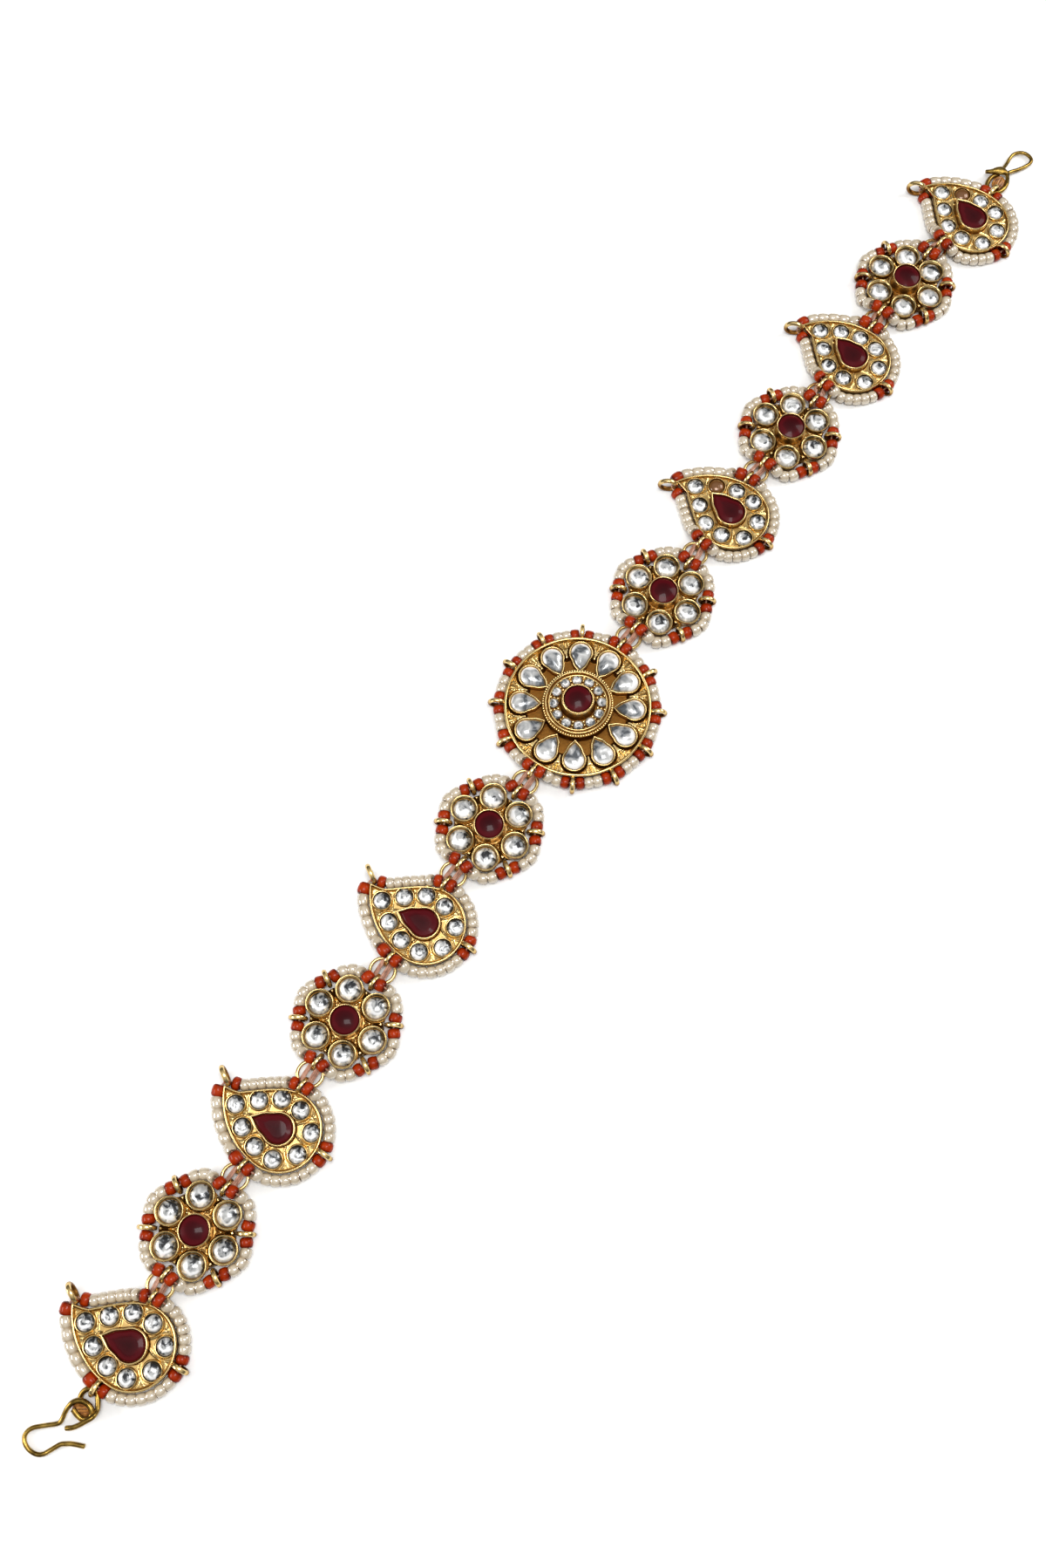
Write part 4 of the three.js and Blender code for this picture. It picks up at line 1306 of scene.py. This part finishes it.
class MATHAPATTI_OT_flowers(bpy.types.Operator):
    """Casts the gilt of the six flower plates"""

    bl_idname = "matha_patti.flowers"
    bl_label = "Flower plates"

    def execute(self, context):
        setting = flower_setting()
        for plate in FLOWER_PLATES:
            add_piece(plate.name + "_setting", laid(setting, plate), gilt_brass(),
                      [plate.name])
        return {"FINISHED"}


class MATHAPATTI_OT_paisleys(bpy.types.Operator):
    """Casts the gilt of the six paisley plates"""

    bl_idname = "matha_patti.paisleys"
    bl_label = "Paisley plates"

    def execute(self, context):
        setting = paisley_setting()
        for plate in PAISLEY_PLATES:
            add_piece(plate.name + "_setting", laid(setting, plate), gilt_brass(),
                      [plate.name])
        return {"FINISHED"}


class MATHAPATTI_OT_medallion(bpy.types.Operator):
    """Casts the gilt of the medallion"""

    bl_idname = "matha_patti.medallion"
    bl_label = "Medallion"

    def execute(self, context):
        setting = medallion_setting(context.scene.matha_patti.grain / 2 / MM)
        add_piece("medallion_setting", laid(setting, MEDALLION_PLATE), gilt_brass(),
                  ["medallion"])
        return {"FINISHED"}


class MATHAPATTI_OT_rubies(bpy.types.Operator):
    """Cuts the round and the pear-shaped rubies"""

    bl_idname = "matha_patti.rubies"
    bl_label = "Rubies"

    def execute(self, context):
        round_ruby = turned(ROUND_RUBY, circle(24))
        pear_ruby = placed_ruby(turned(PEAR_RUBY, pear_outline(PAISLEY_RUBY_TIP, 30)))
        for plate in PLATES:
            if plate in PAISLEY_PLATES:
                stone = pear_ruby
            else:
                at_middle = plate is MEDALLION_PLATE
                height = MEDALLION_RUBY_HEIGHT if at_middle else FLOWER_RUBY_HEIGHT
                stone = round_ruby._replace(points=round_ruby.points + (0, 0, height))
            add_piece(plate.name + "_red_stone", laid(stone, plate), ruby_glass(),
                      [plate.name + "_ruby"], crease=8)
        return {"FINISHED"}


class MATHAPATTI_OT_clear_stones(bpy.types.Operator):
    """Sets the clear foiled stones of every plate"""

    bl_idname = "matha_patti.clear_stones"
    bl_label = "Clear stones"

    def execute(self, context):
        rng = np.random.default_rng(STONE_SEED)
        petals = around_circle(PETAL_CIRCLE, PETAL_COUNT, PETAL_START)[0]
        pears, pear_angles = around_circle(PEAR_CIRCLE, PEAR_COUNT)
        small, small_angles = around_circle(RHINESTONE_CIRCLE, RHINESTONE_COUNT, RHINESTONE_START)
        places = paisley_stone_places()
        petal_stone = faced(turned(softened(PETAL_STONE), circle(32)))
        paisley_stone = faced(turned(softened(PAISLEY_STONE), circle(28)))
        pear_stone = turned(softened(PEAR_STONE), pear_outline(MEDALLION_PEAR_TIP, 44))
        pear_stone = faced(pear_stone, radius=3.4, turn=-math.pi / 2)
        rhinestone = faced(turned(RHINESTONE, circle(8)))
        for plate in PLATES:
            if plate in FLOWER_PLATES:
                tones = rng.uniform(0, FOILED_TONE, len(petals))
                stones = copies(petal_stone, petals, turns(np.zeros(len(petals))), tones)
            elif plate in PAISLEY_PLATES:
                tones = rng.uniform(0, FOILED_TONE, len(places))
                tones[[bare for name, bare in BARE_STONES if name == plate.name]] = 1
                stones = copies(paisley_stone, places, turns(np.zeros(len(places))), tones)
            else:
                stones = joined([
                    copies(pear_stone, pears, turns(pear_angles + math.pi / 2),
                           rng.uniform(0, FOILED_TONE, len(pears))),
                    copies(rhinestone, small, turns(small_angles),
                           rng.uniform(0, FOILED_TONE, len(small))),
                ])
            if plate is MEDALLION_PLATE:
                foil = foiled_glass("clear_glass_on_smooth_foil", "505458", "84878a")
            else:
                foil = foiled_glass("clear_glass_on_crumpled_foil", "1c1d20", "585b5e")
            add_piece(plate.name + "_clear_stones", laid(stones, plate), foil,
                      crease=30)
        return {"FINISHED"}


class MATHAPATTI_OT_beads(bpy.types.Operator):
    """Strings the cream and red beads round every plate"""

    bl_idname = "matha_patti.beads"
    bl_label = "Bead strings"

    def execute(self, context):
        sizes = context.scene.matha_patti
        flower, medallion, paisley = flower_route(), medallion_route(), paisley_route(False)
        end_paisley = paisley_route(True)
        for i, plate in enumerate(PLATES):
            if plate in FLOWER_PLATES:
                route, counts = flower, [5] * 6
            elif plate in PAISLEY_PLATES:
                at_end = plate in (PAISLEY_PLATES[0], PAISLEY_PLATES[-1])
                route, counts = end_paisley if at_end else paisley, [9, 8, 8, 7]
            else:
                route, counts = medallion, [4] * 12
            cream, red = strung_beads(route, counts, sizes, BEAD_SEED + i)
            add_piece(plate.name + "_cream_beads", laid(cream, plate), pearl_glass(),
                      [plate.name + "_bead_string"], crease=60)
            add_piece(plate.name + "_red_beads", laid(red, plate), red_glass(),
                      crease=60)
            half = sizes.thread / 2 / MM * STRING_THREAD
            line = tube(route.path[:-1:3], half, half, 6, closed=True)
            add_piece(plate.name + "_string_thread", laid(line, plate), beading_thread())
        return {"FINISHED"}


def joint_places():
    """The middle and direction of each joint: between the facing links of two plates."""
    chain = sorted(PLATES, key=lambda plate: plate.x)
    middles, angles = [], []
    for near, far in zip(chain[:-1], chain[1:]):
        holes = []
        for plate, side in ((near, 1), (far, -1)):
            reach, level = FLOWER_REACH, 0
            if plate in PAISLEY_PLATES:
                reach, level = PAISLEY_REACH, PAISLEY_REACH_LEVEL
            elif plate is MEDALLION_PLATE:
                reach = MEDALLION_REACH
            turn = turns(math.radians(plate.turn))[0]
            holes.append(turn @ (side * reach, level, 0) + (plate.x, plate.y, 0))
        middles.append((holes[0] + holes[1]) / 2)
        angles.append(math.atan2(*(holes[1] - holes[0])[1::-1]))
    return np.array(middles), np.array(angles)


def racetrack(length, width, height):
    """A closed thread line of a half length and half width: an ellipse whose two halves are
    moved apart along x, with straight runs between them, and a slight wave in height."""
    count = 44
    way = full_turn(count)
    bend = np.cos(way)
    x = width * bend + (length - width) * np.sign(bend) * np.minimum(1, 3 * np.abs(bend))
    y = width * np.sin(way)
    return np.stack([x, y, np.full(count, height) + 0.12 * np.sin(3 * way)], axis=1)


def winding(lines, thread):
    """A few closed turns of thread, one over the other."""
    return joined([tube(racetrack(*line), thread, thread, 8, closed=True) for line in lines])


class MATHAPATTI_OT_joints(bpy.types.Operator):
    """Bends the jump rings and winds the thread that crosses each joint"""

    bl_idname = "matha_patti.joints"
    bl_label = "Jump rings"

    def execute(self, context):
        sizes = context.scene.matha_patti
        wire, thread = sizes.ring_wire / 2 / MM, sizes.thread / 2 / MM
        middles, angles = joint_places()
        circle_path = around_circle(RING_RADIUS, 48, height=RING_HEIGHT)[0]
        ring = tube(circle_path, wire, wire, 12, closed=True, depth=0.1)
        windings = winding([(3.0, 1.1, 1.35), (3.1, 0.8, 1.75), (2.9, 0.55, 2.1)], thread)
        for number, (middle, angle) in enumerate(zip(middles + CHAIN_ORIGIN, angles), start=1):
            add_piece(f"gilt_ring_{number}", copies(ring, [middle], turns(angle)), gilt_brass(),
                      [f"jump_ring_{number}"])
            add_piece(f"joint_thread_{number}", copies(windings, [middle], turns(angle)),
                      beading_thread())
        return {"FINISHED"}


class MATHAPATTI_OT_hooks(bpy.types.Operator):
    """Bends the wire hooks and the open end ring"""

    bl_idname = "matha_patti.hooks"
    bl_label = "Hooks"

    def execute(self, context):
        sizes = context.scene.matha_patti
        wire, thread = sizes.hook_wire / 2 / MM, 1.3 * sizes.thread / 2 / MM
        # Thickness at the start, 0.4, 0.6 and 0.75 of the way, as shares of the wire's own: the
        # hooks are thicker where their ends are wound on, and the ring in its middle.
        for name, stops, halves in (
            ("near_hook", NEAR_HOOK_ROUTE, [0.95, 0.9, 0.95, 1.15]),
            ("near_end_ring", NEAR_END_RING_ROUTE, [1.0, 1.1, 1.05, 1.0]),
            ("far_hook", FAR_HOOK_ROUTE, [0.85, 0.85, 0.9, 1.15]),
        ):
            path = smooth_path(stops, 8) + CHAIN_ORIGIN
            half = wire * np.interp(np.linspace(0, 1, len(path)), [0, 0.4, 0.6, 0.75], halves)
            add_piece(name + "_wire", tube(path, half, half, 14, depth=0.2), worn_wire(),
                      [name])
        # The far hook's neck: a flat wrap of wire that hides its loop's end.
        tail = smooth_path([(150.7, -1.3, 2.0), (151.5, -2.3, 2.0), (152.5, -3.2, 1.9),
                            (153.1, -4.2, 1.75), (153.3, -5.1, 1.5)], 10) + CHAIN_ORIGIN
        swell = np.interp(np.linspace(0, 1, len(tail)), [0, 0.3, 0.65, 1], [0.42, 0.62, 1.1, 0.5])
        add_piece("far_hook_neck", tube(tail, swell, 0.42, 18), worn_wire())
        eye = winding([(1.5, 1.15, 1.15), (1.4, 0.7, 1.4), (1.2, 0.3, 1.6)], thread)
        for name, middle, angle in (
            ("near_eye_thread", (-152.9, -3.6, 0), -0.9),
            ("far_eye_thread", (150.6, -4.9, -0.3), 0.1),
        ):
            add_piece(name, copies(eye, [middle + CHAIN_ORIGIN], turns(angle), WAXED_TONE),
                      beading_thread())
        return {"FINISHED"}


class MATHAPATTI_OT_stage(bpy.types.Operator):
    """Lays the paper, hangs the lights and places the camera"""

    bl_idname = "matha_patti.stage"
    bl_label = "Stage"

    def execute(self, context):
        scene = context.scene
        corners = np.array([(-1, -1, 0), (1, -1, 0), (1, 1, 0), (-1, 1, 0)]) * PAPER_HALF * MM
        mesh = bpy.data.meshes.new("paper")
        mesh.from_pydata(corners.tolist(), [], [(0, 1, 2, 3)])
        mesh.materials.append(table_paper())
        paper = bpy.data.objects.new("paper", mesh)
        scene.collection.objects.link(paper)

        world = bpy.data.worlds.new("studio")
        world.use_nodes = True
        tree = world.node_tree
        sky = add_node(tree, "ShaderNodeTexCoord").outputs["Generated"]
        rise = add_node(tree, "ShaderNodeSeparateXYZ", None, {"Vector": sky}).outputs["Z"]
        ramp = add_node(tree, "ShaderNodeValToRGB", None, {"Fac": rise})
        grey = set_ramp(ramp, [(0.0, linear("4a4a4a")), (0.5, linear("7e7e7e")),
                               (0.8, linear("d2d2d2")), (0.95, linear("e2e2e2"))])
        # The camera sees a pale wall where only the metal should see the room's dark sides.
        seen = add_node(tree, "ShaderNodeLightPath").outputs["Is Camera Ray"]
        wall = add_node(
            tree, "ShaderNodeMix", {"data_type": "RGBA"},
            {"Factor": seen, 6: grey, 7: linear("f2f2f2")},
        ).outputs[2]
        tree.links.new(wall, tree.nodes["Background"].inputs["Color"])
        scene.world = world
        scene.view_settings.view_transform = "Standard"

        for name, place, size, watts in (
            ("key_softbox", (-50, -50, 560), (260, 190), 1.7),
            ("fill_softbox", (430, -230, 360), (280, 260), 1.3),
            ("side_softbox", (-380, 330, 220), (260, 160), 1.2),
        ):
            light = bpy.data.lights.new(name, "AREA")
            light.shape = "RECTANGLE"
            light.size, light.size_y = size[0] * MM, size[1] * MM
            light.energy = watts
            lamp = bpy.data.objects.new(name, light)
            lamp.location = Vector(place) * MM
            lamp.rotation_euler = (-lamp.location).to_track_quat("-Z", "Y").to_euler()
            scene.collection.objects.link(lamp)

        place = Vector(CAMERA_PLACE + CHAIN_ORIGIN) * MM
        look = (Vector(CAMERA_TARGET + CHAIN_ORIGIN) * MM - place).normalized()
        level = look.cross(Vector(UP)).normalized()
        roll = math.radians(CAMERA_ROLL)
        right = math.cos(roll) * level + math.sin(roll) * level.cross(look)
        basis = Matrix((right, right.cross(look), -look)).transposed()
        lens = bpy.data.cameras.new("camera")
        lens.lens = CAMERA_LENS
        lens.sensor_width = 36
        lens.clip_start, lens.clip_end = 0.01, 10
        camera = bpy.data.objects.new("camera", lens)
        camera.matrix_world = Matrix.Translation(place) @ basis.to_4x4()
        scene.collection.objects.link(camera)
        scene.camera = camera
        return {"FINISHED"}


OPERATORS = (
    MATHAPATTI_OT_flowers, MATHAPATTI_OT_paisleys, MATHAPATTI_OT_medallion, MATHAPATTI_OT_rubies,
    MATHAPATTI_OT_clear_stones, MATHAPATTI_OT_beads, MATHAPATTI_OT_joints, MATHAPATTI_OT_hooks,
    MATHAPATTI_OT_stage,
)


class MATHAPATTI_PT_panel(bpy.types.Panel):
    """Lists the pieces and their sizes"""

    bl_idname = "MATHAPATTI_PT_panel"
    bl_label = "Matha patti"
    bl_space_type = "VIEW_3D"
    bl_region_type = "UI"
    bl_category = "Matha patti"

    def draw(self, context):
        """One row for each setting and a button for each operator."""
        scene = context.scene
        for group in (scene.matha_patti, scene.matha_patti_colours):
            for name in group.__annotations__:
                self.layout.prop(group, name)
        for operator in OPERATORS:
            self.layout.operator(operator.bl_idname)


CLASSES = (MathaPattiSizes, MathaPattiColours, *OPERATORS, MATHAPATTI_PT_panel)


def register():
    """Registers the classes and hangs both groups of settings on the scene."""
    for cls in CLASSES:
        bpy.utils.register_class(cls)
    bpy.types.Scene.matha_patti = PointerProperty(type=MathaPattiSizes)
    bpy.types.Scene.matha_patti_colours = PointerProperty(type=MathaPattiColours)


def unregister():
    """Takes the settings and the classes away again."""
    del bpy.types.Scene.matha_patti_colours
    del bpy.types.Scene.matha_patti
    for cls in reversed(CLASSES):
        bpy.utils.unregister_class(cls)


def main():
    """Builds every piece and the stage."""
    register()
    for operator in OPERATORS:
        group, action = operator.bl_idname.split(".")
        getattr(getattr(bpy.ops, group), action)()


if __name__ == "__main__":
    main()
